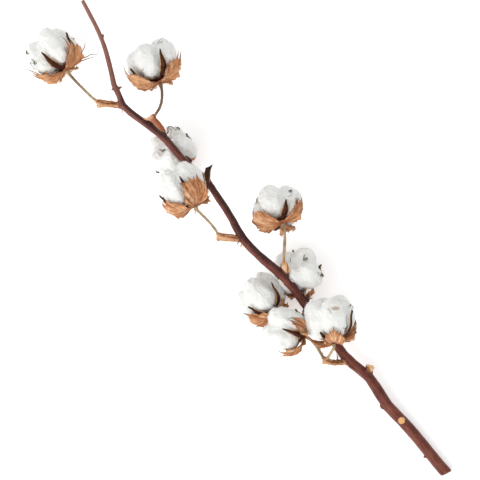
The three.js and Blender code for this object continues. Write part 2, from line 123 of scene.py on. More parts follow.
# The stalk of boll 8, which is still brown: its third value is how far it is like the stem.
BROWN_STALK = ([(459.4, 17.8, 46.2), (464, 5, 44.6), (471.5, -3.4, 39), (483.3, -9.7, 33)],
               2.6, 2.6, 0.66, 0)
# Knobs of the thin end of the stem that are as dark as its bark.
DARK_KNOBS = [(502.9, 27.3), (553.6, 8.1)]
# Dry stipules and scraps of bark at the joints: foot, tip, width in the middle and how pale.
SCRAPS = [
    ((224, 5.5, 36), (231.5, -1.5, 39), 1.5, 0), ((226, 9, 37), (233, 4.5, 41), 1.4, 0),
    ((222, 5, 35), (221, -1.5, 37), 1.2, 0), ((231, 6, 38), (234.5, -1, 37), 1, 0),
    ((308.5, 21, 45), (305.5, 27.5, 45.5), 2.8, 1), ((312, 22.5, 45), (309.5, 28.5, 44), 1.4, 0),
    ((153, 16.5, 27), (160, 11.5, 31), 2, 0), ((158, 20, 31), (164.5, 15, 34), 2.2, 0.2),
    ((151, 13, 22), (146, 12.5, 26), 2.6, 1), ((168, 27, 40), (175, 23, 45), 1.2, 0),
    ((253, 13.5, 40), (248, 15, 42), 2, 1), ((461, 21, 47), (466.5, 24.5, 48), 2.6, 1),
    ((439, 15, 46), (444, 11.5, 47), 1.6, 0.2), ((487, 34, 45), (481.5, 38, 45.5), 1.6, 0.5),
]
# Painted shade darkens the stem on the side away from the key light: how dark, at distances from
# its cut end.
SHADED_SIDE = Vector((0.13, -0.96, 0.2)).normalized()
PAINTED_SHADE_ALONG = [(0, 0.15), (190, 0.2), (235, 0.5), (280, 0.6), (318, 1), (370, 1), (388, 0.35),
         (438, 0.4), (452, 1), (492, 1), (512, 0.3), (620, 0.2)]
# Where crumbs of leaf lie on the lint of each boll, from above, in the same measure.
CRUMB_SPOTS = {
    1: [(202, -24), (194, -27), (179, -7)],
    3: [(272, 28), (242, 66)],
    4: [(266, -8), (257, -18), (236, -20), (272, -14)],
    5: [(331, -14), (317, -46), (308, -49), (312, 0), (321, -1)],
    6: [(418, 35)],
    7: [(441, 11), (437, 3), (430, -1), (436, 13), (429, 30), (414, 47)],
    8: [(515, -34)],
    9: [(587, 75), (576, 78), (570, 30)],
}
CRUMB_SPOT = 2.6  # reach of each spot
# Withered threads that stand off the bracts of two bolls, each from its foot to its hooked tip.
THREADS = {
    8: [[(499.1, 3.6, 51), (500.7, 1.5, 52.4), (502.3, -0.9, 52.4), (503.3, -3.6, 53.4),
         (503.7, -6.4, 55.2)]],
    9: [[(551, 38.6, 30), (548.7, 32.8, 32), (548.4, 28, 33.5), (546.9, 25.9, 34),
         (544.6, 23.8, 34.5), (544.4, 21, 35.5), (546.4, 19.5, 36.5)],
        [(549.6, 40, 30.6), (547.1, 33.6, 32), (545.8, 30, 32.6), (544.2, 27.5, 33),
         (544.8, 25.5, 34)],
        [(555, 34.4, 33), (556.5, 29.4, 35.4), (558.4, 26.6, 37), (560, 24.6, 39)]],
}
THREAD_WIDTH = 0.9  # at the foot
THREAD_REACH = 4  # length over which a thread darkens from its foot
# A brown stain where a leaf lay on the lint, from above: boll, place and half its two widths.
STAIN = (1, (201.4, -11.4), (4.4, 2.0))
STAIN_AHEAD = (0.609, 0.793)

# Boll shape in millimetres for a boll of size 1: z runs up the boll, r out from its middle.
COLLAR_RADIUS = 4.6
COLLAR_TO = 2.3
COLLAR_PROFILE = [(0, 0.5), (3.4, 0.55), (4.4, 0.9), (4.7, 1.6), (4.2, 2.2), (0, 2.3)]
CUP_PROFILE = [(0, 3), (4, 3), (6, 3.3), (6.7, 3.8), (6.3, 4.5), (5, 4.8), (0, 4.9)]
CUP_TOP = 4.6
VALVE_WIDTH = 7.6
VALVE_PROFILE = [(2, 3.8), (9, 4.7), (16.2, 7.5), (20.4, 13), (21.6, 19.5), (22, 27)]
BRACT_LENGTH = 37
BRACT_SPREAD = 1.25
BRACT_LOBE = 6
BRACT_PROFILE = [(0, 1.4), (4.5, 1.4), (12, 2.6), (19.4, 5.8), (24.6, 12.2), (27, 20.6),
                 (27.4, 29), (26.6, 38), (25.6, 46)]


# ---- Sizes and colours that a user would change ----

def linear(colour):
    """An sRGB hex colour as linear red, green and blue."""
    channels = [int(colour[i:i + 2], 16) / 255 for i in (1, 3, 5)]
    return [c / 12.92 if c <= 0.04045 else ((c + 0.055) / 1.055) ** 2.4 for c in channels]


def length(name, description, millimetres):
    return FloatProperty(name=name, description=description, default=millimetres * MM,
                         min=0.0, unit="LENGTH", precision=5)


def colour(name, description, value):
    return FloatVectorProperty(name=name, description=description, default=linear(value),
                               subtype="COLOR", min=0.0, max=1.0)


class CottonSizes(bpy.types.PropertyGroup):
    """Sizes of the fine forms."""

    bark_cell: length("Bark cell", "Width of a face of the bark", 0.62)
    bark_ridge: length("Bark ridge", "Height of the ridges along the bark", 0.22)
    bract_thickness: length("Bract thickness", "Thickness of a dry bract", 0.42)
    vein_height: length("Vein height", "How far a bract's veins stand out", 1.15)
    crumple: length("Crumple", "How far a dry bract is crumpled", 1.9)
    valve_thickness: length("Valve thickness", "Thickness of a burr valve", 1.0)
    lint_cell: length("Lint cell", "Width of a face of the lint", 0.85)
    lint_lump: length("Lint lump", "Height of the lumps in the lint", 1.1)
    crease: length("Crease", "Half the width up to which the lint fills its creases", 2.6)
    fibre_length: length("Fibre length", "Length of a loose tuft of fibres", 5.0)
    fibre_thickness: length("Fibre thickness", "Thickness of a loose tuft of fibres", 0.12)
    fibres_per_cm2: FloatProperty(name="Fibres per cm2", default=36.0, min=0.0,
                                  description="Loose fibres on each square centimetre of lint")
    crumbs_per_cm2: FloatProperty(name="Crumbs per cm2", default=9.0, min=0.0,
                                  description="Bits of dry leaf on the lint where they gather")
    seed: IntProperty(name="Seed", default=5, min=0, description="Changes where loose fibres lie")


class CottonColours(bpy.types.PropertyGroup):
    """Main colour of each finish."""

    bark: colour("Bark", "Bark of the main stem", "#774032")
    twig: colour("Twig", "Bark of the stalks", "#B39A78")
    wood: colour("Cut wood", "Wood at a cut face", "#E8B77E")
    bract: colour("Bract", "Dry bracts", "#C68C60")
    burr: colour("Burr", "Outer face of a burr valve", "#3E190C")
    lining: colour("Lining", "Inner face of a burr valve", "#D2B083")
    lint: colour("Lint", "Cotton lint", "#F6F7F4")


# ---- Small helpers ----

def lerp(a, b, t):
    return a + (b - a) * t


def smoothstep(low, high, x):
    t = min(1, max(0, (x - low) / (high - low)))
    return t * t * (3 - 2 * t)


def seeded(seed):
    """The same row of numbers between 0 and 1 for the same seed, as the solids draw them."""
    state = seed * 7919 + 17
    while True:
        state = state * 16807 % 2147483647
        yield state / 2147483647


def polar(radius, angle, z=0.0):
    return Vector((radius * math.cos(angle), radius * math.sin(angle), z))


def turned_to(*axes):
    """The turn that lays x, y and z along these axes."""
    return Matrix(axes).transposed().to_4x4()


def reaches(points):
    """The distance of each point of a line from the first one, along the line."""
    total = [0]
    for a, b in zip(points, points[1:]):
        total.append(total[-1] + (b - a).length)
    return total


class Profile:
    """A smooth curve through points (r, z), read by its own parameter or by its arc length."""

    STEPS = 200

    def __init__(self, points):
        self.points = [Vector((r, 0, z)) for r, z in points]
        self.line = [self._point(i / self.STEPS) for i in range(self.STEPS + 1)]
        self.reach = np.array(reaches(self.line))
        self.steps = np.arange(self.STEPS + 1)

    def _point(self, t):
        points = self.points
        last = len(points) - 1
        i = min(last - 1, int(last * t))
        weight = last * t - i
        p1, p2 = points[i], points[i + 1]
        p0 = points[i - 1] if i > 0 else 2 * p1 - p2
        p3 = points[i + 2] if i + 2 <= last else 2 * p2 - p1
        d0, d1, d2 = [(b - a).length ** 0.5 for a, b in ((p0, p1), (p1, p2), (p2, p3))]
        t1 = ((p1 - p0) / d0 - (p2 - p0) / (d0 + d1) + (p2 - p1) / d1) * d1
        t2 = ((p2 - p1) / d1 - (p3 - p1) / (d1 + d2) + (p3 - p2) / d2) * d1
        c2 = 3 * (p2 - p1) - 2 * t1 - t2
        c3 = 2 * (p1 - p2) + t1 + t2
        return p1 + weight * (t1 + weight * (c2 + weight * c3))

    def _step(self, place):
        i = min(self.STEPS - 1, int(place))
        return self.line[i].lerp(self.line[i + 1], place - i)

    def at(self, t):
        return self._step(min(1, max(0, t)) * self.STEPS)

    def at_length(self, distance):
        return self._step(np.interp(distance, self.reach, self.steps))


BRACT_CURVE = Profile(BRACT_PROFILE)
VALVE_CURVE = Profile(VALVE_PROFILE)


FLAT = 0.9995  # how alike the directions of two triangles of one flat face are
LEVEL = 0.04 * MM  # how far off its plane a triangle of a flat face may lie


def flat_patches(node):
    """The flat faces of a node: area, middle, normal and reach of each, the largest first."""
    mesh = bpy.data.objects[node].data
    mesh.calc_loop_triangles()
    found = []
    for triangle in mesh.loop_triangles:
        corners = [mesh.vertices[i].co for i in triangle.vertices]
        normal = (corners[1] - corners[0]).cross(corners[2] - corners[0])
        area = normal.length / 2
        if area < 1e-6 * MM * MM:
            continue
        normal.normalize()
        height = normal.dot(corners[0])
        for patch in found:
            if patch["normal"].dot(normal) > FLAT and abs(patch["height"] - height) < LEVEL:
                break
        else:
            patch = {"normal": normal, "height": height, "area": 0, "sum": Vector(), "corners": []}
            found.append(patch)
        patch["area"] += area
        patch["sum"] += area * sum(corners, Vector()) / 3
        patch["corners"] += corners
    for patch in found:
        patch["middle"] = patch["sum"] / patch["area"]
        patch["reach"] = max((c - patch["middle"]).length for c in patch["corners"])
    return sorted(found, key=lambda patch: -patch["area"])


def search_tree(points):
    tree = KDTree(len(points))
    for i, point in enumerate(points):
        tree.insert(point, i)
    tree.balance()
    return tree


class Boll:
    """Where a boll sits, from the flat top of its bracts' collar."""

    def __init__(self, number):
        self.number = number
        self.name = f"boll_{number}"
        (self.turn, self.valves, self.opened, self.length, self.closed,
         self.bracts) = BOLLS[number - 1]
        top = flat_patches(self.name + "_bracts")[0]
        self.axis = top["normal"]
        self.size = top["reach"] / (COLLAR_RADIUS * MM)
        self.seat = top["middle"] - self.axis * (COLLAR_TO * MM * self.size)
        up = (UP - self.axis * self.axis.z).normalized()
        side = self.axis.cross(up)
        self.matrix = (Matrix.Translation(self.seat) @ turned_to(up, side, self.axis)
                       @ Matrix.Scale(self.size * MM, 4))
        self.draw = seeded(number + 2)  # used by the valves, then the bracts, then the lint
        self.covers = []  # points of what lies on the lint, and how far under each it stays

    def stretch(self, z):
        return CUP_TOP + (z - CUP_TOP) * self.length if z > CUP_TOP else z


def stem_corner():
    """Where the middle of the stem's cut end stands on the floor."""
    return Boll(1).seat - Vector(FIRST_SEAT) * MM


# ---- Meshes ----

class Skin:
    """Vertices, faces and named values for each vertex, gathered before a mesh is made."""

    def __init__(self, *names):
        self.points = []
        self.faces = []
        self.values = {name: [] for name in names or ("along", "across", "tip", "fold", "thin")}

    def vertex(self, point, **values):
        self.points.append(point)
        for name, row in self.values.items():
            row.append(values.get(name, 0.0))
        return len(self.points) - 1

    def quads(self, lower, upper):
        """Faces between two rows of vertices."""
        self.faces += zip(lower, lower[1:], upper[1:], upper)

    def tube(self, rows):
        """Faces between rows of vertices that each close on themselves."""
        for lower, upper in zip(rows, rows[1:]):
            self.quads(lower + lower[:1], upper + upper[:1])

    def object(self, name, matrix=Matrix.Identity(4)):
        mesh = bpy.data.meshes.new(name)
        places = [matrix @ p for p in self.points]
        for place in places:
            place.z = max(place.z, FLOOR_GAP)
        mesh.from_pydata(places, [], self.faces)
        for key, row in self.values.items():
            set_values(mesh, key, row)
        mesh.update()
        return show(name, mesh)


def show(name, data):
    thing = bpy.data.objects.new(name, data)
    bpy.context.scene.collection.objects.link(thing)
    return thing


def baked_mesh(thing):
    """The mesh that an object's modifiers, or its curve, give."""
    graph = bpy.context.evaluated_depsgraph_get()
    return bpy.data.meshes.new_from_object(thing.evaluated_get(graph))


def bake(thing):
    """Puts the result of an object's modifiers in the place of its mesh."""
    mesh = baked_mesh(thing)
    thing.modifiers.clear()
    old, thing.data = thing.data, mesh
    bpy.data.meshes.remove(old)
    return thing


def join(things, name):
    """One object from several, with their values and material numbers kept."""
    whole = bmesh.new()
    for thing in things:
        whole.from_mesh(thing.data)
    mesh = bpy.data.meshes.new(name)
    whole.to_mesh(mesh)
    whole.free()
    for thing in things:
        bpy.data.objects.remove(thing)
    return show(name, mesh)


def thicken(thing, thickness):
    """Gives a sheet its thickness, half as much where its thin value is 1."""
    group = thing.vertex_groups.new(name="body")
    thin = thing.data.attributes["thin"].data
    for i, value in enumerate(thin):
        group.add([i], 1 - value.value, "REPLACE")
    wall = thing.modifiers.new("Thickness", "SOLIDIFY")
    wall.thickness = thickness
    wall.offset = 0
    wall.vertex_group = "body"
    wall.thickness_vertex_group = 0.4
    wall.material_offset = 1
    wall.material_offset_rim = 1
    return bake(thing)


def lathe(profile, name, matrix, sides=28):
    """A closed round body with a profile (r, z) that starts and ends on the axis."""
    skin = Skin()
    rows = []
    for r, z in profile[1:-1]:
        rows.append([])
        for i in range(sides):
            angle = 2 * math.pi * i / sides
            wave = 1 + 0.05 * math.sin(3 * angle) + 0.03 * math.sin(7 * angle + 1)
            rows[-1].append(skin.vertex(polar(r * wave, angle, z)))
    skin.tube(rows)
    for row, (_, z) in ((rows[0][::-1], profile[0]), (rows[-1], profile[-1])):
        end = skin.vertex(Vector((0, 0, z)))
        skin.faces += [(end, a, b) for a, b in zip(row, row[1:] + row[:1])]
    return skin.object(name, matrix)


def finer_copy(node, name, cell, rounds, swell=0.0):
    """A CAD node's form again, with faces of one size and its edges softened.

    With a swell, it is blown up and shrunk back by that much, which closes its creases.
    """
    shape = bmesh.new()
    shape.from_mesh(bpy.data.objects[node].data)
    bmesh.ops.remove_doubles(shape, verts=shape.verts, dist=0.001 * MM)
    mesh = bpy.data.meshes.new(name)
    shape.to_mesh(mesh)
    shape.free()
    thing = show(name, mesh)
    for step in ((0, swell, -swell) if swell else (0,)):
        if step:
            blow = thing.modifiers.new("Blow", "DISPLACE")
            blow.mid_level = 0
            blow.strength = step
        if step >= 0:
            remesh = thing.modifiers.new("Cells", "REMESH")
            remesh.mode = "VOXEL"
            remesh.voxel_size = cell
    soften = thing.modifiers.new("Soften", "SMOOTH")
    soften.factor = 0.5
    soften.iterations = rounds
    return bake(thing)


def set_values(mesh, name, values, kind="FLOAT", key="value"):
    layer = mesh.attributes.get(name) or mesh.attributes.new(name, kind, "POINT")
    layer.data.foreach_set(key, values)


def move(mesh, places):
    """Puts a mesh's vertices in new places, none of them below the floor."""
    places = np.array(places)
    places[:, 2] = np.maximum(places[:, 2], 0.0)
    mesh.vertices.foreach_set("co", places.ravel())
    mesh.update()


def dress(piece, node, materials=()):
    """Gives a finished piece its materials and its place in the frame."""
    for material in materials:
        piece.data.materials.append(material)
    piece.data.polygons.foreach_set("use_smooth", [True] * len(piece.data.polygons))
    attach(piece, "root")
    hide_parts(node)


# ---- Materials ----

def per(millimetres):
    """The scale of a pattern whose parts are this far apart."""
    return 1 / (millimetres * MM)


def fill(tree, node, inputs):
    """Gives a node its inputs, each as a value, a hex colour or a link."""
    for key, value in inputs.items():
        if isinstance(value, bpy.types.NodeSocket):
            tree.links.new(value, node.inputs[key])
        elif isinstance(value, str) and value.startswith("#"):
            node.inputs[key].default_value = (*linear(value), 1)
        else:
            node.inputs[key].default_value = value


def add(tree, kind, inputs=None, stops=(), **settings):
    """Adds a node with its settings, its inputs and, for a ramp, its stops.

    The stops are the first one, the last one and then those between.
    """
    node = tree.nodes.new(kind)
    for name, value in settings.items():
        setattr(node, name, value)
    fill(tree, node, inputs or {})
    for i, (position, shade) in enumerate(stops):
        elements = node.color_ramp.elements
        stop = elements[i] if i < 2 else elements.new(position)
        stop.position = position
        stop.color = (*(linear(shade) if isinstance(shade, str) else shade), 1)
    return node


def new_material(name):
    """A material with its nodes, its shader and the places on the object for its patterns."""
    material = bpy.data.materials.new(name)
    material.use_nodes = True
    tree = material.node_tree
    place = add(tree, "ShaderNodeTexCoord").outputs["Object"]
    return material, tree, tree.nodes["Principled BSDF"], place


def bark_material(colours):
    """Dry bark of a cotton stem.

    It is a thin, tight skin that dried on the wood: maroon with pinkish grey streaks along it,
    fine ridges and small pale corky dots, and a dull satin gloss. Side twigs have dried to tan,
    and cut faces show pale wood with a paler rim.
    """
    material, tree, shader, place = new_material("Dry cotton bark")
    along, twig, cut, ring, painted_shade, stub, furrow, red = [
        add(tree, "ShaderNodeAttribute", attribute_name=name).outputs["Fac"]
        for name in ("along", "twig", "cut", "ring", "painted_shade", "stub", "furrow", "red")
    ]
    around = add(tree, "ShaderNodeAttribute", attribute_name="around").outputs["Vector"]
    # Streaks are about 1.6 mm wide and 25 mm long, blotches 14 mm across.
    streak = add(tree, "ShaderNodeTexNoise", {"Vector": around, "Scale": per(1.6), "Detail": 4,
                                              "Roughness": 0.6}).outputs["Fac"]
    blotch = add(tree, "ShaderNodeTexNoise", {"Vector": place, "Scale": per(14), "Detail": 3})
    both = add(tree, "ShaderNodeMath", {0: streak, 1: blotch.outputs["Fac"]}, operation="ADD")
    half = add(tree, "ShaderNodeMath", {0: both.outputs[0], 1: 0.5}, operation="MULTIPLY")
    maroon = add(tree, "ShaderNodeValToRGB", {"Fac": half.outputs[0]},
                 [(0.32, "#401D15"), (0.72, "#8B5948"), (0.45, "#642F24"), (0.55, colours.bark)])
    # The young end of the stem is lighter and pinker.
    young = add(tree, "ShaderNodeMapRange", {"Value": along, "From Min": 0.42, "From Max": 0.6,
                                             "To Max": 0.7})
    # Corky dots are about 0.8 mm across and 2 mm apart.
    dots = add(tree, "ShaderNodeTexVoronoi", {"Vector": place, "Scale": per(2)})
    corky = add(tree, "ShaderNodeMapRange", {"Value": dots.outputs["Distance"], "From Min": 0.34,
                                             "From Max": 0.1, "To Max": 0.32})
    # Painted shade: the side of the stem away from the key light is painted nearly black.
    skin = maroon.outputs["Color"]
    for share, shade in ((young.outputs[0], "#A6776A"), (painted_shade, "#331619"),
                         (corky.outputs[0], "#A8705E")):
        skin = add(tree, "ShaderNodeMix", {0: share, 6: skin, 7: shade},
                   data_type="RGBA").outputs[2]
    # Stalks have dried to olive tan, with grey brown patches about 9 mm long.
    patch = add(tree, "ShaderNodeTexNoise", {"Vector": place, "Scale": per(9), "Detail": 4,
                                             "Roughness": 0.6})
    olive = add(tree, "ShaderNodeValToRGB", {"Fac": patch.outputs["Fac"]},
                [(0.34, "#7C6A4E"), (0.68, "#CBA67D"), (0.47, "#A08C6C"), (0.57, colours.twig)])
    # Stubs and twigs are orange tan, brown in their furrows; some are still reddish.
    grain = add(tree, "ShaderNodeTexNoise", {"Vector": place, "Scale": per(2.2),
                                             "Detail": 4}).outputs["Fac"]
    depth = add(tree, "ShaderNodeMath", {0: grain, 1: furrow}, operation="ADD")
    level = add(tree, "ShaderNodeMath", {0: depth.outputs[0], 1: 0.5}, operation="MULTIPLY")
    orange = add(tree, "ShaderNodeValToRGB", {"Fac": level.outputs[0]},
                 [(0.28, "#4E2D1A"), (0.7, "#E0B58C"), (0.4, "#9A643C"), (0.54, "#C68F62")])
    rusty = add(tree, "ShaderNodeMix", {0: red, 6: orange.outputs["Color"], 7: "#A45C3F"},
                data_type="RGBA")
    dry = add(tree, "ShaderNodeMix", {0: stub, 6: olive.outputs["Color"], 7: rusty.outputs[2]},
              data_type="RGBA")
    # Cut wood is paler towards its rim.
    inward = add(tree, "ShaderNodeMath", {0: ring, 1: 0.8}, operation="MULTIPLY")
    ragged = add(tree, "ShaderNodeMath", {0: grain, 1: 0.3, 2: inward.outputs[0]},
                 operation="MULTIPLY_ADD")
    wood = add(tree, "ShaderNodeValToRGB", {"Fac": ragged.outputs[0]},
               [(0.17, "#C99763"), (0.92, "#F2D9B4"), (0.27, colours.wood), (0.8, "#E0A86B")])
    for share, over in ((twig, dry.outputs[2]), (cut, wood.outputs["Color"])):
        skin = add(tree, "ShaderNodeMix", {0: share, 6: skin, 7: over},
                   data_type="RGBA").outputs[2]
    rough = add(tree, "ShaderNodeMapRange", {"Value": streak, "To Min": 0.42, "To Max": 0.72})
    # Ridges about 0.7 mm apart run along the bark.
    ridge = add(tree, "ShaderNodeTexNoise", {"Vector": around, "Scale": per(0.7), "Detail": 3})
    bump = add(tree, "ShaderNodeBump", {"Height": ridge.outputs["Fac"], "Strength": 0.6,
                                        "Distance": 0.3 * MM})
    fill(tree, shader, {"Base Color": skin, "Roughness": rough.outputs[0],
                        "Normal": bump.outputs[0], "IOR": 1.5, "Specular IOR Level": 0.25})
    return material


def bract_material(name, colours, light):
    """Dry papery bract.

    Thin dead leaf that dried in the sun: ochre to orange tan with dark brittle teeth, and painted
    shade in the furrows between its veins and in the hollows where it is crumpled. It is matt,
    and lets a little light through. The inner face is paler.
    """
    material, tree, shader, place = new_material(name)
    across, along, fold, tip = [
        add(tree, "ShaderNodeAttribute", attribute_name=value).outputs["Fac"]
        for value in ("across", "along", "fold", "tip")
    ]
    # Blotches are about 5 mm across.
    blotch = add(tree, "ShaderNodeTexNoise", {"Vector": place, "Scale": per(5), "Detail": 5,
                                              "Roughness": 0.6}).outputs["Fac"]
    # Fine side veins run up the leaf, about 1 mm apart: 40 across a bract.
    spread = add(tree, "ShaderNodeMath", {0: across, 1: 20}, operation="MULTIPLY")
    run = add(tree, "ShaderNodeMath", {0: along, 1: 2.6}, operation="MULTIPLY")
    lines = add(tree, "ShaderNodeCombineXYZ", {0: spread.outputs[0], 1: run.outputs[0]})
    sway = add(tree, "ShaderNodeVectorMath", {0: place, 1: (per(30),) * 3, 2: lines.outputs[0]},
               operation="MULTIPLY_ADD")
    veins = add(tree, "ShaderNodeTexNoise", {"Vector": sway.outputs[0], "Scale": 1.0, "Detail": 3,
                                             "Roughness": 0.6}).outputs["Fac"]
    mean = add(tree, "ShaderNodeMath", {0: veins, 1: 0.5}, operation="SUBTRACT")
    faint = add(tree, "ShaderNodeMath", {0: blotch, 1: 0.55, 2: 0.225}, operation="MULTIPLY_ADD")
    vein = add(tree, "ShaderNodeMath", {0: mean.outputs[0], 1: 0.6, 2: faint.outputs[0]},
               operation="MULTIPLY_ADD")
    # Painted shade: the fold value darkens the leaf where it lies low, in the furrows between its
    # veins and in its crumple hollows.
    shade = add(tree, "ShaderNodeMath", {0: fold, 1: 0.46, 2: vein.outputs[0]},
                operation="MULTIPLY_ADD")
    level = add(tree, "ShaderNodeMath", {0: shade.outputs[0], 1: 0.22 - light},
                operation="SUBTRACT")
    leaf = add(tree, "ShaderNodeValToRGB", {"Fac": level.outputs[0]},
               [(0.24, "#7A4526"), (0.8, "#EDCFAE"), (0.4, "#A86D45"), (0.52, colours.bract),
                (0.64, "#D9A97F")])
    # The foot of the bract is redder, the teeth are dark.
    foot = add(tree, "ShaderNodeMapRange", {"Value": along, "From Min": 0.3, "From Max": 0.0,
                                            "To Max": 0.6})
    red = add(tree, "ShaderNodeMix", {0: foot.outputs[0], 6: leaf.outputs["Color"],
                                      7: "#9E5633"}, data_type="RGBA")
    noisy = add(tree, "ShaderNodeMath", {0: blotch, 1: 0.5, 2: tip}, operation="MULTIPLY_ADD")
    end = add(tree, "ShaderNodeMapRange", {"Value": noisy.outputs[0], "From Min": 0.5,
                                           "From Max": 1.15, "To Max": 0.92})
    dark = add(tree, "ShaderNodeMix", {0: end.outputs[0], 6: red.outputs[2], 7: "#3F2416"},
               data_type="RGBA")
    # The ground between the veins has a grain of about 0.9 mm.
    grain = add(tree, "ShaderNodeTexNoise", {"Vector": place, "Scale": per(0.9), "Detail": 3})
    ground = add(tree, "ShaderNodeMath", {0: veins, 1: 1.2, 2: grain.outputs["Fac"]},
                 operation="MULTIPLY_ADD")
    bump = add(tree, "ShaderNodeBump", {"Height": ground.outputs[0], "Strength": 0.7,
                                        "Distance": 0.35 * MM})
    fill(tree, shader, {
        "Base Color": dark.outputs[2],
        "Normal": bump.outputs[0],
        "Roughness": 0.72,
        "IOR": 1.45,
        "Subsurface Weight": 0.12,
        "Subsurface Radius": (1.0, 0.5, 0.25),
        "Subsurface Scale": 0.6 * MM,
    })
    return material


def burr_material(colours):
    """Outer face of a cotton burr.

    A hard woody seed case: dark maroon brown with fine ridges towards its point, nearly black
    at the tip, with worn cream rims and a low polish where it is smooth.
    """
    material, tree, shader, place = new_material("Woody cotton burr")
    across, tip = [add(tree, "ShaderNodeAttribute", attribute_name=name).outputs["Fac"]
                   for name in ("across", "tip")]
    # Mottling is about 3 mm across.
    mottle = add(tree, "ShaderNodeTexNoise", {"Vector": place, "Scale": per(3), "Detail": 5,
                                              "Roughness": 0.65}).outputs["Fac"]
    wood = add(tree, "ShaderNodeValToRGB", {"Fac": mottle},
               [(0.3, "#1F0C08"), (0.76, "#7A3F25"), (0.48, colours.burr), (0.6, "#542415")])
    # The worn rims show the cream lining.
    off = add(tree, "ShaderNodeMath", {0: across}, operation="ABSOLUTE")
    worn = add(tree, "ShaderNodeMath", {0: mottle, 1: 0.5, 2: off.outputs[0]},
               operation="MULTIPLY_ADD")
    rim = add(tree, "ShaderNodeMapRange", {"Value": worn.outputs[0], "From Min": 1.0,
                                           "From Max": 1.14})
    end = add(tree, "ShaderNodeMapRange", {"Value": tip, "From Min": 0.7, "From Max": 1.0,
                                           "To Max": 0.8})
    case = wood.outputs["Color"]
    for share, shade in ((rim.outputs[0], "#C9A272"), (end.outputs[0], "#1E110B")):
        case = add(tree, "ShaderNodeMix", {0: share, 6: case, 7: shade},
                   data_type="RGBA").outputs[2]
    rough = add(tree, "ShaderNodeMapRange", {"Value": mottle, "To Min": 0.5, "To Max": 0.8})
    bump = add(tree, "ShaderNodeBump", {"Height": mottle, "Strength": 0.6, "Distance": 0.4 * MM})
    fill(tree, shader, {"Base Color": case, "Roughness": rough.outputs[0],
                        "Normal": bump.outputs[0], "Specular IOR Level": 0.25})
    return material


def lining_material(colours):
    """Inner face of a cotton burr: a smooth, tough cream membrane with tan stains."""
    material, tree, shader, place = new_material("Burr lining membrane")
    tip = add(tree, "ShaderNodeAttribute", attribute_name="tip").outputs["Fac"]
    # Stains are about 4 mm across.
    stain = add(tree, "ShaderNodeTexNoise", {"Vector": place, "Scale": per(4), "Detail": 4})
    skin = add(tree, "ShaderNodeValToRGB", {"Fac": stain.outputs["Fac"]},
               [(0.32, "#A5784A"), (0.66, "#EAD8B4"), (0.48, colours.lining)])
    end = add(tree, "ShaderNodeMapRange", {"Value": tip, "From Min": 0.6, "From Max": 1.0,
                                           "To Max": 0.85})
    dark = add(tree, "ShaderNodeMix", {0: end.outputs[0], 6: skin.outputs["Color"],
                                       7: "#2B1A14"}, data_type="RGBA")
    bump = add(tree, "ShaderNodeBump", {"Height": stain.outputs["Fac"], "Strength": 0.3,
                                        "Distance": 0.3 * MM})
    fill(tree, shader, {"Base Color": dark.outputs[2], "Normal": bump.outputs[0],
                        "Roughness": 0.5})
    return material


def lint_material(colours):
    """Raw cotton lint.

    Fluffed cellulose fibres: bright white and wholly matt, with a soft halo at the edges.
    Light passes a few millimetres into it, so its folds are only faintly grey.
    """
    material, tree, shader, place = new_material("Raw cotton lint")
    # Clumps are about 7 mm across, some of them cream.
    clump = add(tree, "ShaderNodeTexNoise", {"Vector": place, "Scale": per(7), "Detail": 4})
    white = add(tree, "ShaderNodeValToRGB", {"Fac": clump.outputs["Fac"]},
                [(0.2, "#EAE4D4"), (0.62, colours.lint), (0.36, "#EFEFEA")])
    stain = add(tree, "ShaderNodeAttribute", attribute_name="stain").outputs["Fac"]
    brown = add(tree, "ShaderNodeMath", {0: stain, 1: 0.75}, operation="MULTIPLY")
    stained = add(tree, "ShaderNodeMix", {0: brown.outputs[0], 6: white.outputs["Color"],
                                          7: "#A68C74"}, data_type="RGBA")
    # Fibres are far finer than this: strands 0.8 mm apart stand for them.
    bend = add(tree, "ShaderNodeTexNoise", {"Vector": place, "Scale": per(3), "Detail": 2})
    warp = add(tree, "ShaderNodeVectorMath",
               {0: bend.outputs["Color"], 1: (4 * MM,) * 3, 2: place}, operation="MULTIPLY_ADD")
    strands = add(tree, "ShaderNodeTexNoise", {"Vector": warp.outputs[0], "Scale": per(0.8),
                                               "Detail": 3, "Roughness": 0.6})
    bump = add(tree, "ShaderNodeBump", {"Height": strands.outputs["Fac"], "Strength": 0.8,
                                        "Distance": 0.7 * MM})
    fill(tree, shader, {
        "Base Color": stained.outputs[2],
        "Normal": bump.outputs[0],
        "Roughness": 1.0,
        "Specular IOR Level": 0.15,
        "Subsurface Weight": 0.6,
        "Subsurface Radius": (1.0, 0.98, 0.95),
        "Subsurface Scale": 6.0 * MM,
        "Sheen Weight": 0.8,
        "Sheen Roughness": 0.6,
    })
    return material


def fleck_material():
    """Crumbs of dry leaf caught in the lint: brittle, dark brown to olive, matt."""
    material, tree, shader, place = new_material("Dry leaf crumbs")
    # Mottling is about 9 mm across, so that one crumb is darker than the next.
    mottle = add(tree, "ShaderNodeTexNoise", {"Vector": place, "Scale": per(9), "Detail": 2})
    leaf = add(tree, "ShaderNodeValToRGB", {"Fac": mottle.outputs["Fac"]},
               [(0.35, "#2E1C12"), (0.7, "#7A6238")])
    fill(tree, shader, {"Base Color": leaf.outputs["Color"], "Roughness": 0.8})
    return material


def floor_material():
    """White studio paper: smooth, matt, with a very faint tooth.

    The paper lies on a light table, which fills in the shadows on it.
    """
    material, tree, shader, place = new_material("White studio paper")
    # The tooth of the paper is drawn 2 mm wide.
    tooth = add(tree, "ShaderNodeTexNoise", {"Vector": place, "Scale": per(2), "Detail": 2})
    white = add(tree, "ShaderNodeValToRGB", {"Fac": tooth.outputs["Fac"]},
                [(0.3, "#FAFAFA"), (0.7, "#FDFDFD")])
    fill(tree, shader, {
        "Base Color": white.outputs["Color"],
        "Roughness": 0.9,
        "Specular IOR Level": 0.1,
        "Emission Color": "#FFFFFF",
        "Emission Strength": 0.3,
    })
    return material


# ---- The branch ----

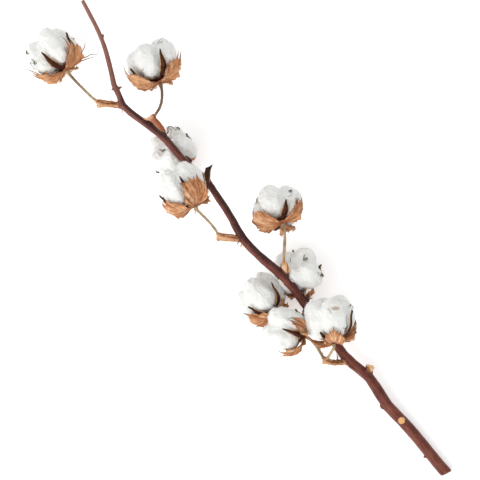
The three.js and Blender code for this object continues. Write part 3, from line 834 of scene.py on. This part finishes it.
def stem_frames(corner):
    """Points each millimetre along the stem: place, direction, radius, distance from the end."""
    points = [corner + Vector(row[:3]) * MM for row in STEM]
    radii = [row[3] / 2 * MM for row in STEM]
    spans = list(zip(points, radii, reaches(points)))
    rows = []
    for (a, from_radius, start), (b, to_radius, stop) in zip(spans, spans[1:]):
        steps = max(1, round((stop - start) / MM))
        for part in (i / steps for i in range(steps)):
            rows.append((a.lerp(b, part), (b - a).normalized(),
                         lerp(from_radius, to_radius, part), lerp(start, stop, part)))
    return rows, search_tree([row[0] for row in rows])


class Twig:
    """A stub or twig beside the stem, and how a point lies to it."""

    def __init__(self, row, corner):
        path, self.wide, self.narrow, self.red, self.lip = row
        self.points = [corner + Vector(p) * MM for p in path]
        self.reach = reaches(self.points)

    def near(self, p):
        """How far along the twig a point is, from 0 to 1, its distance as a share of the
        twig's radius, and its angle round the twig."""
        best = None
        for i, (a, b) in enumerate(zip(self.points, self.points[1:])):
            ahead = b - a
            part = min(1, max(0, (p - a).dot(ahead) / ahead.length_squared))
            away = p - a.lerp(b, part)
            if best is None or away.length < best[0]:
                total = self.reach[i] + part * ahead.length
                best = (away.length, total / self.reach[-1], away, ahead.normalized())
        length, t, away, ahead = best
        side = ahead.cross(UP).normalized()
        angle = math.atan2(away.dot(side), away.dot(side.cross(ahead)))
        return t, length / (lerp(self.wide, self.narrow, t) / 2 * MM), angle


CUT_ROUNDNESS = 0.7  # share of its own circle that a cut face fills at least
CUT_AREA = 14 * MM * MM  # smallest area of a cut face
SEAT_REACH = 3 * MM  # a flat face this close to a boll's seat is not a cut


def cut_faces(node, seats):
    """The small flat ends where the stem and its twigs were cut."""
    found = []
    for patch in flat_patches(node):
        compact = patch["area"] / (math.pi * patch["reach"] ** 2) > CUT_ROUNDNESS
        at_boll = any((patch["middle"] - seat).length < SEAT_REACH for seat in seats)
        if compact and not at_boll and patch["area"] > CUT_AREA:
            found.append(patch)
    return found


CUT_DEPTH = 0.9  # how far from its plane, in millimetres, a cut face still shows
TWIG_STARTS = 1.16, 1.55  # distances from the stem's middle, as shares of its radius
STUB_ENDS = 1.7, 1.25  # the same for how near a point must be to a stub, of the stub's radius
STALK_ENDS = 1.9, 1.6
KNOB_ENDS = 6, 4  # millimetres from a dark knob
DARKEST_PAINTED_SHADE = 0.88  # the most that painted shade darkens the stem
DRAWN_OUT = 15  # how many times a pattern on the bark is drawn out along the stem


def cut_at(p, cuts):
    """How far a point lies in a cut face, from 0 to 1, and how far out from its middle."""
    cut = ring = 0.0
    for patch in cuts:
        away = p - patch["middle"]
        height = away.dot(patch["normal"])
        flat = (away - patch["normal"] * height).length / patch["reach"]
        if abs(height) < CUT_DEPTH * MM and flat < 1.0:
            shown = smoothstep(CUT_DEPTH, 0.5, abs(height) / MM)
            cut = max(cut, smoothstep(0.88, 0.82, flat) * shown)
            ring = flat
    return cut, ring


def painted_shade_at(p, out, total):
    """How much painted shade darkens a point of the stem, from 0 to 1."""
    patchy = 0.5 * noise.noise(p / (6 * MM)) + 0.3 * noise.noise(p / (25 * MM))
    shade_strength = np.interp(total / MM, *zip(*PAINTED_SHADE_ALONG))
    facing = out.normalized().dot(SHADED_SIDE) if out.length > 0 else 0
    return min(DARKEST_PAINTED_SHADE, 1.3 * shade_strength) * smoothstep(
        0.3 - 1.1 * shade_strength, 0.9 - 0.5 * shade_strength, facing + 0.5 * patchy)


def dry_share(p, brown, corner):
    """How far the bark of a twig has dried to tan, from 0 to 1."""
    t, near, _ = brown.near(p)
    share = 1 - brown.red * smoothstep(*STALK_ENDS, near) * smoothstep(0.06, 0.2, t)
    for knob in DARK_KNOBS:
        away = ((p - corner).xy / MM - Vector(knob)).length
        share *= 1 - 0.85 * smoothstep(*KNOB_ENDS, away)
    return share


def stub_at(p, twig, twigs):
    """How far a point lies on a stub, the depth of its furrow, how red it is and its lift."""
    stub = furrow = red = lift = 0.0
    for each in twigs:
        t, near, angle = each.near(p)
        if near > 1.8:
            continue
        share = smoothstep(*STUB_ENDS, near) * twig
        wander = noise.noise(p / (3 * MM))
        drift = polar(1.5, angle, 1.3 * t + each.wide)
        groove = 0.5 + 1.1 * noise.noise(drift) + 0.4 * noise.noise(2.3 * drift)
        stub = max(stub, share)
        furrow = lerp(furrow, groove + 0.2 * wander, share)
        red = max(red, each.red * smoothstep(0.98, 0.8, t))
        lip = math.exp(-((t - 0.93) / 0.07) ** 2) - 0.35 * math.exp(-((t - 0.7) / 0.16) ** 2)
        lift += share * (1.2 * (groove - 0.5) + each.lip * lip + 0.5 * wander) * MM
    return stub, furrow, red, lift


def make_branch(sizes, colours, bolls):
    piece = finer_copy("branch", "bark", sizes.bark_cell, 4)
    corner = stem_corner()
    rows, tree = stem_frames(corner)
    twigs = [Twig(row, corner) for row in TWIGS]
    brown = Twig(BROWN_STALK, corner)
    cuts = cut_faces("branch", [boll.seat for boll in bolls])
    mesh = piece.data
    values, around, places = [], [], []
    for vertex in mesh.vertices:
        p = vertex.co
        middle, ahead, reach, total = rows[tree.find(p)[1]]
        out = p - middle
        out -= ahead * out.dot(ahead)
        twig = smoothstep(*TWIG_STARTS, out.length / reach)
        cut, ring = cut_at(p, cuts)
        stub, furrow, red, stub_lift = stub_at(p, twig, twigs)
        # One of these values is painted shade, darker on the side of the stem away from the key
        # light.
        values.append((total, twig * dry_share(p, brown, corner), cut, ring,
                       painted_shade_at(p, out, total), stub, furrow, red))
        side = out.normalized() * reach if out.length > 0 else out
        drawn = Vector((total / DRAWN_OUT, side.y, side.z)).lerp(p, twig)
        around.extend(drawn)
        ridges = noise.noise(drawn / (1.5 * MM)) + 0.5 * noise.noise(drawn / (0.8 * MM))
        knobs = noise.noise(p / (7 * MM)) * 0.9 + noise.noise(p / (17 * MM)) * 1.2
        lift = sizes.bark_ridge * (ridges + knobs * (1 - 0.5 * twig)) * (1 - cut)
        # The solid's flat sides lie a little inside the round form.
        lift += (lerp(0.18, 0.34, twig) * MM + stub_lift) * (1 - cut)
        places.append(p + vertex.normal * lift)
    move(mesh, places)
    names = ("along", "twig", "cut", "ring", "painted_shade", "stub", "furrow", "red")
    for name, row in zip(names, zip(*values)):
        set_values(mesh, name, row)
    set_values(mesh, "around", around, "FLOAT_VECTOR", "vector")
    piece = join([piece, make_scraps(corner)], "bark")
    dress(piece, "branch", [bark_material(colours)])


def make_scraps(corner):
    """Curled dry scraps and stipules at the joints: thin bent spikes, each closed at its tip."""
    skin = Skin("twig", "stub", "furrow")
    dice = seeded(77)
    sides, rings = 6, 7
    for foot, tip, width, pale in SCRAPS:
        start, end = corner + Vector(foot) * MM, corner + Vector(tip) * MM
        ahead = (end - start).normalized()
        side = ahead.cross(UP).normalized()
        out = side.cross(ahead)
        bow = side * (next(dice) - 0.5) * 1.2 + out * (0.2 + 0.5 * next(dice))
        bow *= (end - start).length
        rows = []
        for j in range(rings):
            t = j / (rings - 1)
            middle = start.lerp(end, t) + bow * (math.sin(math.pi * t) * 0.45)
            reach = width / 2 * MM * (1 - t) ** 0.7 * (0.7 + 0.6 * next(dice)) + 0.08 * MM
            rows.append([])
            for k in range(sides):
                angle = 2 * math.pi * k / sides + 1.5 * t
                x, y, _ = polar(reach, angle)
                rows[-1].append(skin.vertex(middle + side * x + out * (y / 2), twig=1, stub=1,
                                            furrow=pale * 0.75 + 0.05))
        skin.tube(rows)
        skin.faces += [tuple(reversed(rows[0])), tuple(rows[-1])]
    return skin.object("scraps")


# ---- Bracts ----

def bract_surface(boll, bract):
    """A bract's middle surface as a function of across (-1 to 1) and along (0 to 1)."""
    roll, factor, width = bract
    flare = 0.5 + 1.4 * next(boll.draw)
    lean = 0.25 * (next(boll.draw) - 0.5)
    phase = 6 * next(boll.draw)
    reach = BRACT_LENGTH * factor * (0.95 + 0.1 * next(boll.draw))

    def edge(u):
        return 1 - 0.52 * abs(u) ** 2.2

    def point(u, v):
        far = 2.6 + v * (reach * edge(u) - 2.6)
        turn = u * width * BRACT_SPREAD * lerp(1, 0.82, v)
        place = BRACT_CURVE.at_length(far)
        around = turn * min(1.15, max(0.6, far / max(place.x, 4)))
        wave = 1.1 * math.sin(4.4 * u + phase) * v * v
        out = place.x + wave + flare * v ** 3 * (0.4 + 0.6 * u * u)
        angle = math.radians(roll) + around * 0.62 + lean * v
        lobe = BRACT_LOBE * u * u * v
        return polar(out, angle, boll.stretch(place.z) - lobe)

    return point, edge, reach


# The teeth across a bract: where each one starts and ends, and its number of columns. A long
# tooth ends each of the five main veins, with a short one between them.
TOOTH_ROWS = 9
BODY_ROWS = 18
BODY_SHARE = 0.8
LONG_TOOTH = 0.13
TEETH = [(-1, -0.93, 2)]
for vein in (-0.8, -0.4, 0, 0.4, 0.8):
    TEETH += [(vein - LONG_TOOTH, vein + LONG_TOOTH, 5), (vein + LONG_TOOTH, vein + 0.27, 3)]
TEETH[-1] = (0.93, 1, 2)


def grow_bract(skin, boll, bract, sizes, dice):
    """Adds a crumpled, veined leaf with long curled teeth to a skin."""
    teeth = bract[3] if len(bract) > 3 else 1
    point, edge, reach = bract_surface(boll, bract[:3])
    offset = Vector((10 * next(dice), 10 * next(dice), 10 * next(dice)))
    vein_height = sizes.vein_height / MM
    crumple = sizes.crumple / MM
    columns = []
    for start, stop, count in TEETH:
        for i in range(count):
            columns.append((lerp(start, stop, i / count), (start + stop) / 2, (stop - start) / 2))
    columns.append((1, 0.965, 0.035))
    body_end = [BODY_SHARE * (1 + 0.16 * noise.noise(offset + Vector((5 * u, 0, 0))))
                for u, _, _ in columns]
    rows = []
    for j in range(BODY_ROWS + 1):
        t = j / BODY_ROWS
        row = []
        for (u, middle, half), end in zip(columns, body_end):
            v = t * end
            p = point(u, v)
            step = 0.02
            wide = point(u + step, v) - point(u - step, v)
            up = point(u, v + step) - point(u, max(0, v - step))
            out = wide.cross(up).normalized()
            local = abs(u - middle) / half
            vein = math.exp(-(local / 0.32) ** 2) - 0.35
            big = 1 if half > 0.1 else 0.45
            rise = vein_height * vein * big * math.sin(math.pi * min(1, 0.15 + 0.8 * t))
            folds = (noise.noise(p * 0.1 + offset) * 0.8 + noise.noise(p * 0.3 + offset) * 0.3
                     + noise.noise(Vector((u * 4, v * 1.1, 0)) + offset) * 0.9
                     + noise.noise(Vector((u * 9, v * 1.6, 4)) + offset) * 0.9)
            rise += crumple * folds * smoothstep(0.05, 0.6, t)
            # The fold value is painted shade: lower, so darker, where the leaf lies low in its
            # furrows and crumple hollows.
            row.append(skin.vertex(p + out * rise, along=v, across=u, tip=0.12 * t ** 3,
                                   fold=0.5 + 0.42 * rise / (crumple + 0.1), thin=t * 0.5))
        if rows:
            skin.quads(rows[-1], row)
        rows.append(row)
    first = 0
    for start, stop, count in TEETH:
        grow_tooth(skin, rows, first, count, reach * edge((start + stop) / 2), stop - start,
                   teeth, dice)
        first += count


def grow_tooth(skin, rows, first, count, reach, width, teeth, dice):
    """Draws one tooth out of the leaf's edge into a fine curled point."""
    base = rows[-1][first:first + count + 1]
    below = rows[-2][first:first + count + 1]
    long_one = width > 0.2
    size = reach * (0.24 if long_one else 0.13) * (0.6 + 0.8 * next(dice)) * teeth
    curl = 0.1 + 0.7 * next(dice)
    bend = 1.3 * (next(dice) - 0.5)
    twist = 2.4 * (next(dice) - 0.5)
    if long_one and next(dice) > 0.7:
        size *= 1.6
        curl += 1.3 * next(dice) - 0.5
        bend *= 1.8
    corners = [skin.points[i] for i in base]
    middle = (corners[0] + corners[-1]) / 2
    across = corners[-1] - corners[0]
    half = across.length / 2
    across.normalize()
    ahead = middle - sum((skin.points[i] for i in below), Vector()) / len(below)
    out = across.cross(ahead).normalized()
    # Dry teeth close over the lint: they turn towards the far end of the boll.
    upward = UP - out * out.z
    ahead = (0.45 * ahead.normalized() + 0.55 * upward.normalized()).normalized()
    across = ahead.cross(out).normalized()
    out = across.cross(ahead)
    bows = [c - middle - across * (c - middle).dot(across) for c in corners]
    lower = base
    number = TOOTH_ROWS if long_one else 5
    for j in range(1, number + 1):
        t = j / number
        part = 2 * t / number
        turn = (Quaternion(across, -curl * part) @ Quaternion(out, bend * part)
                @ Quaternion(ahead, twist * part))
        across, ahead, out = turn @ across, turn @ ahead, turn @ out
        middle = middle + ahead * (size / number)
        reach_out = max(0.13, half * (1 - t) ** 1.35 * (1 - 0.4 * math.sin(math.pi * t)))
        row = []
        for i, bow in enumerate(bows):
            share = 2 * i / count - 1
            p = middle + across * (share * reach_out) + bow * (1 - t) ** 2
            p += out * (0.5 * reach_out * (share * share - 0.5))
            row.append(skin.vertex(p, along=BODY_SHARE + 0.2 * t, tip=0.12 + 0.88 * t, fold=0.5,
                                   across=skin.values["across"][base[i]], thin=0.5 + 0.5 * t))
        skin.quads(lower, row)
        lower = row


def make_threads(boll, corner, places):
    """Withered threads on a boll's bracts, each a thin curve that tapers to its tip. Each foot
    stands on the nearest of the bracts' own places."""
    curve = bpy.data.curves.new("threads", "CURVE")
    curve.dimensions = "3D"
    curve.bevel_depth = THREAD_WIDTH / 2 * MM
    curve.bevel_resolution = 1
    curve.use_fill_caps = True
    feet = []
    for path in THREADS[boll.number]:
        spots = [corner + Vector(spot) * MM for spot in path]
        spots[0] = min(places, key=lambda place: (place - spots[0]).length)
        feet.append(spots[0])
        spline = curve.splines.new("NURBS")
        spline.points.add(len(path) - 1)
        for i, (point, spot) in enumerate(zip(spline.points, spots)):
            point.co = (*spot, 1)
            point.radius = 1 - 0.65 * i / (len(path) - 1)
        spline.order_u = 3
        spline.use_endpoint_u = True
        spline.resolution_u = 5
    thing = show("threads", curve)
    mesh = baked_mesh(thing)
    away = [min((vertex.co - foot).length for foot in feet) for vertex in mesh.vertices]
    set_values(mesh, "tip", np.minimum(1, 0.3 + np.array(away) / (THREAD_REACH * MM)))
    bpy.data.objects.remove(thing)
    bpy.data.curves.remove(curve)
    return show("threads", mesh)


def make_bracts(sizes, boll, corner, materials):
    skin = Skin()
    dice = seeded(100 + boll.number)
    for bract in boll.bracts:
        grow_bract(skin, boll, bract, sizes, dice)
    places = [boll.matrix @ p for p in skin.points]
    boll.covers += [(place, 0.5) for place in places]
    leaves = thicken(skin.object("leaves", boll.matrix), sizes.bract_thickness)
    collar = lathe(COLLAR_PROFILE, "collar", boll.matrix)
    parts = [leaves, collar]
    if boll.number in THREADS:
        parts.append(make_threads(boll, corner, places))
    piece = join(parts, boll.name + "_leafy_bracts")
    dress(piece, boll.name + "_bracts", materials)


# ---- Burrs ----

VALVE_ROWS = 28
VALVE_COLUMNS = 12


def grow_valve(skin, boll, roll, opened, length, dice):
    """Adds one stiff pointed boat, keeled outwards, of the open seed case."""
    lean = 0.1 * (next(boll.draw) - 0.5)
    share = 4 / len(boll.valves)
    offset = Vector((9 * next(dice), 9 * next(dice), 0))
    twist = 0.9 * (next(dice) - 0.5) + 0.13 * max(0, opened - 2)
    angle = math.radians(roll)
    lower = None
    for j in range(VALVE_ROWS + 1):
        v = j / VALVE_ROWS
        place = VALVE_CURVE.at(v * length)
        taper = 0.45 + 1.22 * v if v < 0.45 else max(0, 1 - (v - 0.45) / 0.57) ** 0.8
        # A valve that is bent far out stays broad up to its blunt end.
        blunt = min(1, max(0, (opened - 2) / 7)) * smoothstep(0.4, 0.8, v)
        taper = lerp(taper, 1.05, blunt)
        half = max(0.22, VALVE_WIDTH / 2 * taper * share)
        out = polar(1, angle + lean * v)
        side = UP.cross(out)
        row = []
        for i in range(VALVE_COLUMNS + 1):
            u = i / (VALVE_COLUMNS / 2) - 1
            ragged = 1 + 0.12 * noise.noise(Vector((v * 7, u * 0.6, 0)) + offset)
            reach = place.x + opened * v ** 3 - 1.3 * abs(u) * min(1, 2 * v)
            keel = 0.55 * math.exp(-(u / 0.22) ** 2) * min(1, 3 * (1 - v))
            keel += 0.8 * abs(u) ** 5 * smoothstep(0.1, 0.5, v)
            rough = 0.5 * noise.noise(Vector((u * 2.5, v * 3, 1)) + offset)
            p = out * (reach + keel + rough + 1.4 * smoothstep(0.86, 1, v))
            p.z = boll.stretch(place.z) + 0.8 * abs(u)
            turn = twist * smoothstep(0.35, 0.9, v)
            p += (side * math.cos(turn) + out * math.sin(turn)) * (u * half * ragged)
            row.append(skin.vertex(p, along=v, across=u, tip=v, thin=abs(u) ** 2))
        if lower:
            skin.quads(lower, row)
        lower = row


def make_burr(sizes, boll, materials):
    skin = Skin()
    dice = seeded(200 + boll.number)
    for i, length in enumerate(boll.valves):
        opened = boll.opened if i == 1 else 0
        grow_valve(skin, boll, boll.turn + 360 * i / len(boll.valves), opened, length, dice)
    boll.covers += [(boll.matrix @ p, 0.9) for p in skin.points]
    blades = thicken(skin.object("blades", boll.matrix), sizes.valve_thickness * boll.size)
    cup = lathe(CUP_PROFILE, "cup", boll.matrix)
    piece = join([blades, cup], boll.name + "_open_burr")
    dress(piece, boll.name + "_burr", materials)


# ---- Lint ----

def lay_tube(tree, joined, bow, steps, sides, radius, taper=None):
    """Adds a tube along a bow (start, two handles and end) to a join, as one thing to lay."""
    names = ("Start", "Start Handle", "End Handle", "End")
    line = add(tree, "GeometryNodeCurvePrimitiveBezierSegment",
               {"Resolution": steps, **dict(zip(names, bow))})
    ring = add(tree, "GeometryNodeCurvePrimitiveCircle", {"Resolution": sides, "Radius": radius})
    tube = add(tree, "GeometryNodeCurveToMesh",
               {"Curve": line.outputs[0], "Profile Curve": ring.outputs[0], "Fill Caps": True,
                **(taper or {})})
    one = add(tree, "GeometryNodeGeometryToInstance", {0: tube.outputs[0]})
    tree.links.new(one.outputs[0], joined.inputs[0])


def tuft_tree(lint, fleck):
    """Geometry nodes that lay loose fibres and leaf crumbs on a lock of lint."""
    tree = bpy.data.node_groups.new("Loose fibres", "GeometryNodeTree")
    for name, kind in (("Geometry", "Geometry"), ("Fibre density", "Float"),
                       ("Fibre length", "Float"), ("Fibre thickness", "Float"),
                       ("Crumb density", "Float"), ("Seed", "Int")):
        tree.interface.new_socket(name, in_out="INPUT", socket_type="NodeSocket" + kind)
    tree.interface.new_socket("Geometry", in_out="OUTPUT", socket_type="NodeSocketGeometry")
    given = add(tree, "NodeGroupInput").outputs
    # Two kinds of fibre bow up from the surface and back down to it, and one stands free.
    fibres = add(tree, "GeometryNodeJoinGeometry")
    along = add(tree, "GeometryNodeSplineParameter").outputs["Factor"]
    centred = add(tree, "ShaderNodeMath", {0: along, 1: 0.5}, operation="SUBTRACT")
    square = add(tree, "ShaderNodeMath", {0: centred.outputs[0], 1: 2}, operation="POWER")
    taper = add(tree, "ShaderNodeMath", {0: square.outputs[0], 1: -3.2, 2: 1},
                operation="MULTIPLY_ADD")
    ratio = add(tree, "ShaderNodeMath", {0: given["Fibre thickness"], 1: given["Fibre length"]},
                operation="DIVIDE")
    thick = add(tree, "ShaderNodeMath", {0: taper.outputs[0], 1: ratio.outputs[0]},
                operation="MULTIPLY")
    for rise, sway, end in ((0.1, 0.32, 0), (0.2, -0.2, 0), (0.16, 0.14, 0.3)):
        bow = ((-0.5, 0, -0.03), (-0.2, sway, rise), (0.25, -sway, 1.5 * rise),
               (0.5, sway / 2, end))
        lay_tube(tree, fibres, bow, 4, 3, 0.5, {"Scale": thick.outputs[0]})
    # A crumb is a curled thread of dry bract or a shorter, thicker scrap.
    scraps = add(tree, "GeometryNodeJoinGeometry")
    for radius, reach, curl in ((0.07, 0.6, 0.5), (0.05, 0.75, -0.4), (0.13, 0.3, 0.15)):
        bow = (-reach, 0, 0.02), (-0.4, curl, 0.3), (0.4, -curl, 0.4), (reach, curl / 2, 0.1)
        lay_tube(tree, scraps, bow, 8, 5, radius)
    whole = add(tree, "GeometryNodeJoinGeometry", {0: given["Geometry"]})
    for shapes, finish, density, where, small, large, extra in (
        (fibres, lint, "Fibre density", "bare", 0.5, 1.5, 0),
        (scraps, fleck, "Crumb density", "littered", 0.6, 1.1, 1),
    ):
        spread = add(tree, "GeometryNodeInputNamedAttribute", {"Name": where}, data_type="FLOAT")
        amount = add(tree, "ShaderNodeMath", {0: given[density], 1: spread.outputs[0]},
                     operation="MULTIPLY")
        seed = add(tree, "ShaderNodeMath", {0: given["Seed"], 1: extra},
                   operation="ADD").outputs[0]
        points = add(tree, "GeometryNodeDistributePointsOnFaces", {
            "Mesh": given["Geometry"], "Density": amount.outputs[0], "Seed": seed})
        spin = add(tree, "FunctionNodeRandomValue",
                   {"Min": (-0.35, -0.25, 0), "Max": (0.35, 0.25, 6.283), "Seed": seed},
                   data_type="FLOAT_VECTOR")
        euler = add(tree, "FunctionNodeEulerToRotation", {0: spin.outputs["Value"]})
        turn = add(tree, "FunctionNodeRotateRotation",
                   {"Rotation": points.outputs["Rotation"], "Rotate By": euler.outputs[0]},
                   rotation_space="LOCAL")
        grow = add(tree, "FunctionNodeRandomValue", {2: small, 3: large, "Seed": seed},
                   data_type="FLOAT")
        scale = add(tree, "ShaderNodeMath", {0: grow.outputs[1], 1: given["Fibre length"]},
                    operation="MULTIPLY")
        laid = add(tree, "GeometryNodeInstanceOnPoints", {
            "Points": points.outputs["Points"], "Instance": shapes.outputs[0],
            "Pick Instance": True, "Rotation": turn.outputs[0], "Scale": scale.outputs[0]})
        real = add(tree, "GeometryNodeRealizeInstances", {0: laid.outputs[0]})
        done = add(tree, "GeometryNodeSetMaterial",
                   {"Geometry": real.outputs[0], "Material": finish})
        tree.links.new(done.outputs[0], whole.inputs[0])
    add(tree, "NodeGroupOutput", {0: whole.outputs[0]})
    return tree


def set_inputs(modifier, values):
    """Sets a geometry nodes modifier's inputs, found by their names."""
    for item in modifier.node_group.interface.items_tree:
        if item.in_out == "INPUT" and item.name in values:
            modifier[item.identifier] = values[item.name]


def covers_tree(boll):
    """The points that lie on a boll's lint, with the bark among them, ready to be searched."""
    low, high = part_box(boll.name + "_cotton")
    near = 3 * MM
    covers = boll.covers + [
        (v.co.copy(), 0.4) for v in bpy.data.objects["bark"].data.vertices
        if all(low[k] - near < v.co[k] < high[k] + near for k in range(3))
    ]
    return covers, search_tree([point for point, _ in covers])


PRESSED = 2.6, 1.2  # how far beside its cover the lint starts to be pressed, and is wholly so
PRESS_DEPTH = 3.2  # how deep under the lint a cover still presses it
STEM_CLEARANCE = 2.2  # how many times further fibres keep off the stem than off the burr


def make_lint(sizes, corner, boll, tree, lint):
    node = boll.name + "_cotton"
    piece = finer_copy(node, boll.name + "_lint", sizes.lint_cell, 12,
                       sizes.crease * boll.closed)
    mesh = piece.data
    covers, near = covers_tree(boll)
    offset = Vector((boll.number * 3.7, 0, 0))
    places, bare = [], []
    for vertex in mesh.vertices:
        p = vertex.co
        # Lumps are about 9 mm across, with creases 5 mm and small lumps 2 mm apart.
        big = noise.noise(p / (9 * MM) + offset)
        mid = 1 - 2 * abs(noise.noise(p / (5 * MM) - offset))
        fine = noise.noise(p / (2 * MM) + offset)
        lift = sizes.lint_lump * (0.3 + 1.3 * big + 0.5 * mid + 0.55 * fine)
        # The lint is pressed in under the valves, the bracts and the stem.
        found, number, _ = near.find(p)
        gap = (found - p).dot(vertex.normal)
        beside = (found - p - vertex.normal * gap).length
        pressed = smoothstep(*PRESSED, beside / MM) if gap > -PRESS_DEPTH * MM else 0
        lift = lerp(lift, min(lift, gap - covers[number][1] * MM), pressed)
        clear = 1.0 if number < len(boll.covers) else STEM_CLEARANCE
        bare.append(smoothstep(2.5 * clear, 5.5 * clear, (found - p).length / MM))
        places.append(p + vertex.normal * lift)
    move(mesh, places)
    set_values(mesh, "bare", bare)
    for name, values in (("stain", stain_of), ("littered", litter_of)):
        set_values(mesh, name, values(boll, np.array(places), corner))
    mesh.materials.append(lint)
    loose = piece.modifiers.new("Loose fibres", "NODES")
    loose.node_group = tree
    set_inputs(loose, {
        "Fibre density": sizes.fibres_per_cm2 * 1e4,
        "Crumb density": sizes.crumbs_per_cm2 * 1e4,
        "Fibre length": sizes.fibre_length,
        "Fibre thickness": sizes.fibre_thickness,
        "Seed": sizes.seed + 10 * boll.number,
    })
    bake(piece)
    move(piece.data, [vertex.co for vertex in piece.data.vertices])
    dress(piece, node)


def stain_of(boll, places, corner):
    """How much each point of the lint is stained, from 0 to 1."""
    number, spot, (length, width) = STAIN
    if boll.number != number:
        return np.zeros(len(places))
    away = (places[:, :2] - corner.xy) / MM - spot
    x, y = STAIN_AHEAD
    reach = np.hypot(away @ (x, y) / length, away @ (-y, x) / width)
    return np.clip((1.15 - reach) / 0.5, 0, 1) * (places[:, 2] > boll.seat.z)


def litter_of(boll, places, corner):
    """How thickly crumbs of leaf lie at each point of the lint, from 0 to 1."""
    littered = np.full(len(places), 0.002)
    high = places[:, 2] > places[:, 2].mean() - 4 * MM
    for spot in CRUMB_SPOTS.get(boll.number, []):
        away = (places[:, :2] - corner.xy) / MM - spot
        littered[high & (np.hypot(*away.T) < CRUMB_SPOT)] = 1
    return littered


# ---- The stage ----

FIELD = 477.5 * MM  # width that the camera sees at the bolls
AIM = Vector((13.8, 5.9, 30)) * MM  # from the middle of the branch's footprint
IMAGE_RIGHT = Vector((-0.609, -0.793, 0))
LENS = 250.0  # focal length in millimetres, long enough for a nearly flat view
FLOOR_REACH = 6.0  # metres to each side
FLOOR_HEIGHT = -0.1 * MM  # just under the branch


def make_stage():
    low, high = CAD_BOX
    middle = Vector(((low.x + high.x) / 2, (low.y + high.y) / 2, 0))
    right = IMAGE_RIGHT.normalized()
    camera = bpy.data.cameras.new("Camera")
    camera.lens = LENS
    camera.clip_end = 50
    holder = show("Camera", camera)
    distance = FIELD / 2 * LENS / (camera.sensor_width / 2)
    place = Matrix.Translation(middle + AIM + UP * distance)
    holder.matrix_world = place @ turned_to(right, UP.cross(right), UP)
    bpy.context.scene.camera = holder

    mesh = bpy.data.meshes.new("Floor")
    corners = [(-1, -1), (1, -1), (1, 1), (-1, 1)]
    mesh.from_pydata([(x * FLOOR_REACH, y * FLOOR_REACH, FLOOR_HEIGHT) for x, y in corners],
                     [], [(0, 1, 2, 3)])
    floor = show("Floor", mesh)
    mesh.materials.append(floor_material())

    world = bpy.data.worlds.new("Studio")
    bpy.context.scene.world = world
    world.use_nodes = True
    back = world.node_tree.nodes["Background"]
    back.inputs["Color"].default_value = (1, 1, 1, 1)
    back.inputs["Strength"].default_value = 0.7
    # name, place from the middle of the branch, width, power
    for name, place, width, power in (
        ("Key", Vector((-0.35, 1.9, 1.7)), 2.2, 40),
        ("Top", Vector((0.2, 0.1, 2.6)), 2.6, 6),
    ):
        light = bpy.data.lights.new(name, "AREA")
        light.shape = "SQUARE"
        light.size = width
        light.energy = power
        lamp = show(name, light)
        lamp.location = middle + place
        lamp.rotation_euler = (-place).to_track_quat("-Z", "Y").to_euler()
    bpy.context.scene.view_settings.view_transform = "Standard"


# ---- Operators ----

def settings(context):
    return context.scene.cotton_sizes, context.scene.cotton_colours


class COTTON_OT_branch(bpy.types.Operator):
    """Make the bark of the stem, twigs and stalks"""

    bl_idname = "cotton.branch"
    bl_label = "Branch"

    def execute(self, context):
        make_branch(*settings(context), [Boll(n + 1) for n in range(len(BOLLS))])
        return {"FINISHED"}


class COTTON_OT_bolls(bpy.types.Operator):
    """Make the burr, the bracts and the lint of each boll"""

    bl_idname = "cotton.bolls"
    bl_label = "Bolls"

    def execute(self, context):
        sizes, colours = settings(context)
        woody = [burr_material(colours), lining_material(colours)]
        papery = [bract_material("Dry papery bract", colours, 0),
                  bract_material("Inner face of a bract", colours, 0.1)]
        lint = lint_material(colours)
        tree = tuft_tree(lint, fleck_material())
        corner = stem_corner()
        for n in range(len(BOLLS)):
            boll = Boll(n + 1)
            make_burr(sizes, boll, woody)
            make_bracts(sizes, boll, corner, papery)
            make_lint(sizes, corner, boll, tree, lint)
        return {"FINISHED"}


class COTTON_OT_stage(bpy.types.Operator):
    """Make the floor, the lights and the camera"""

    bl_idname = "cotton.stage"
    bl_label = "Stage"

    def execute(self, context):
        make_stage()
        return {"FINISHED"}


OPERATORS = (COTTON_OT_branch, COTTON_OT_bolls, COTTON_OT_stage)


class COTTON_PT_panel(bpy.types.Panel):
    """Lists the pieces and their sizes"""

    bl_label = "Cotton Branch"
    bl_idname = "COTTON_PT_panel"
    bl_space_type = "VIEW_3D"
    bl_region_type = "UI"
    bl_category = "Cotton Branch"

    def draw(self, context):
        for operator in OPERATORS:
            self.layout.operator(operator.bl_idname)
        for group in settings(context):
            for name in group.__annotations__:
                self.layout.prop(group, name)


CLASSES = (CottonSizes, CottonColours, *OPERATORS, COTTON_PT_panel)


def register():
    for each in CLASSES:
        bpy.utils.register_class(each)
    bpy.types.Scene.cotton_sizes = PointerProperty(type=CottonSizes)
    bpy.types.Scene.cotton_colours = PointerProperty(type=CottonColours)


def unregister():
    del bpy.types.Scene.cotton_colours
    del bpy.types.Scene.cotton_sizes
    for each in reversed(CLASSES):
        bpy.utils.unregister_class(each)


def main():
    register()
    bpy.ops.cotton.branch()
    bpy.ops.cotton.bolls()
    bpy.ops.cotton.stage()


if __name__ == "__main__":
    main()
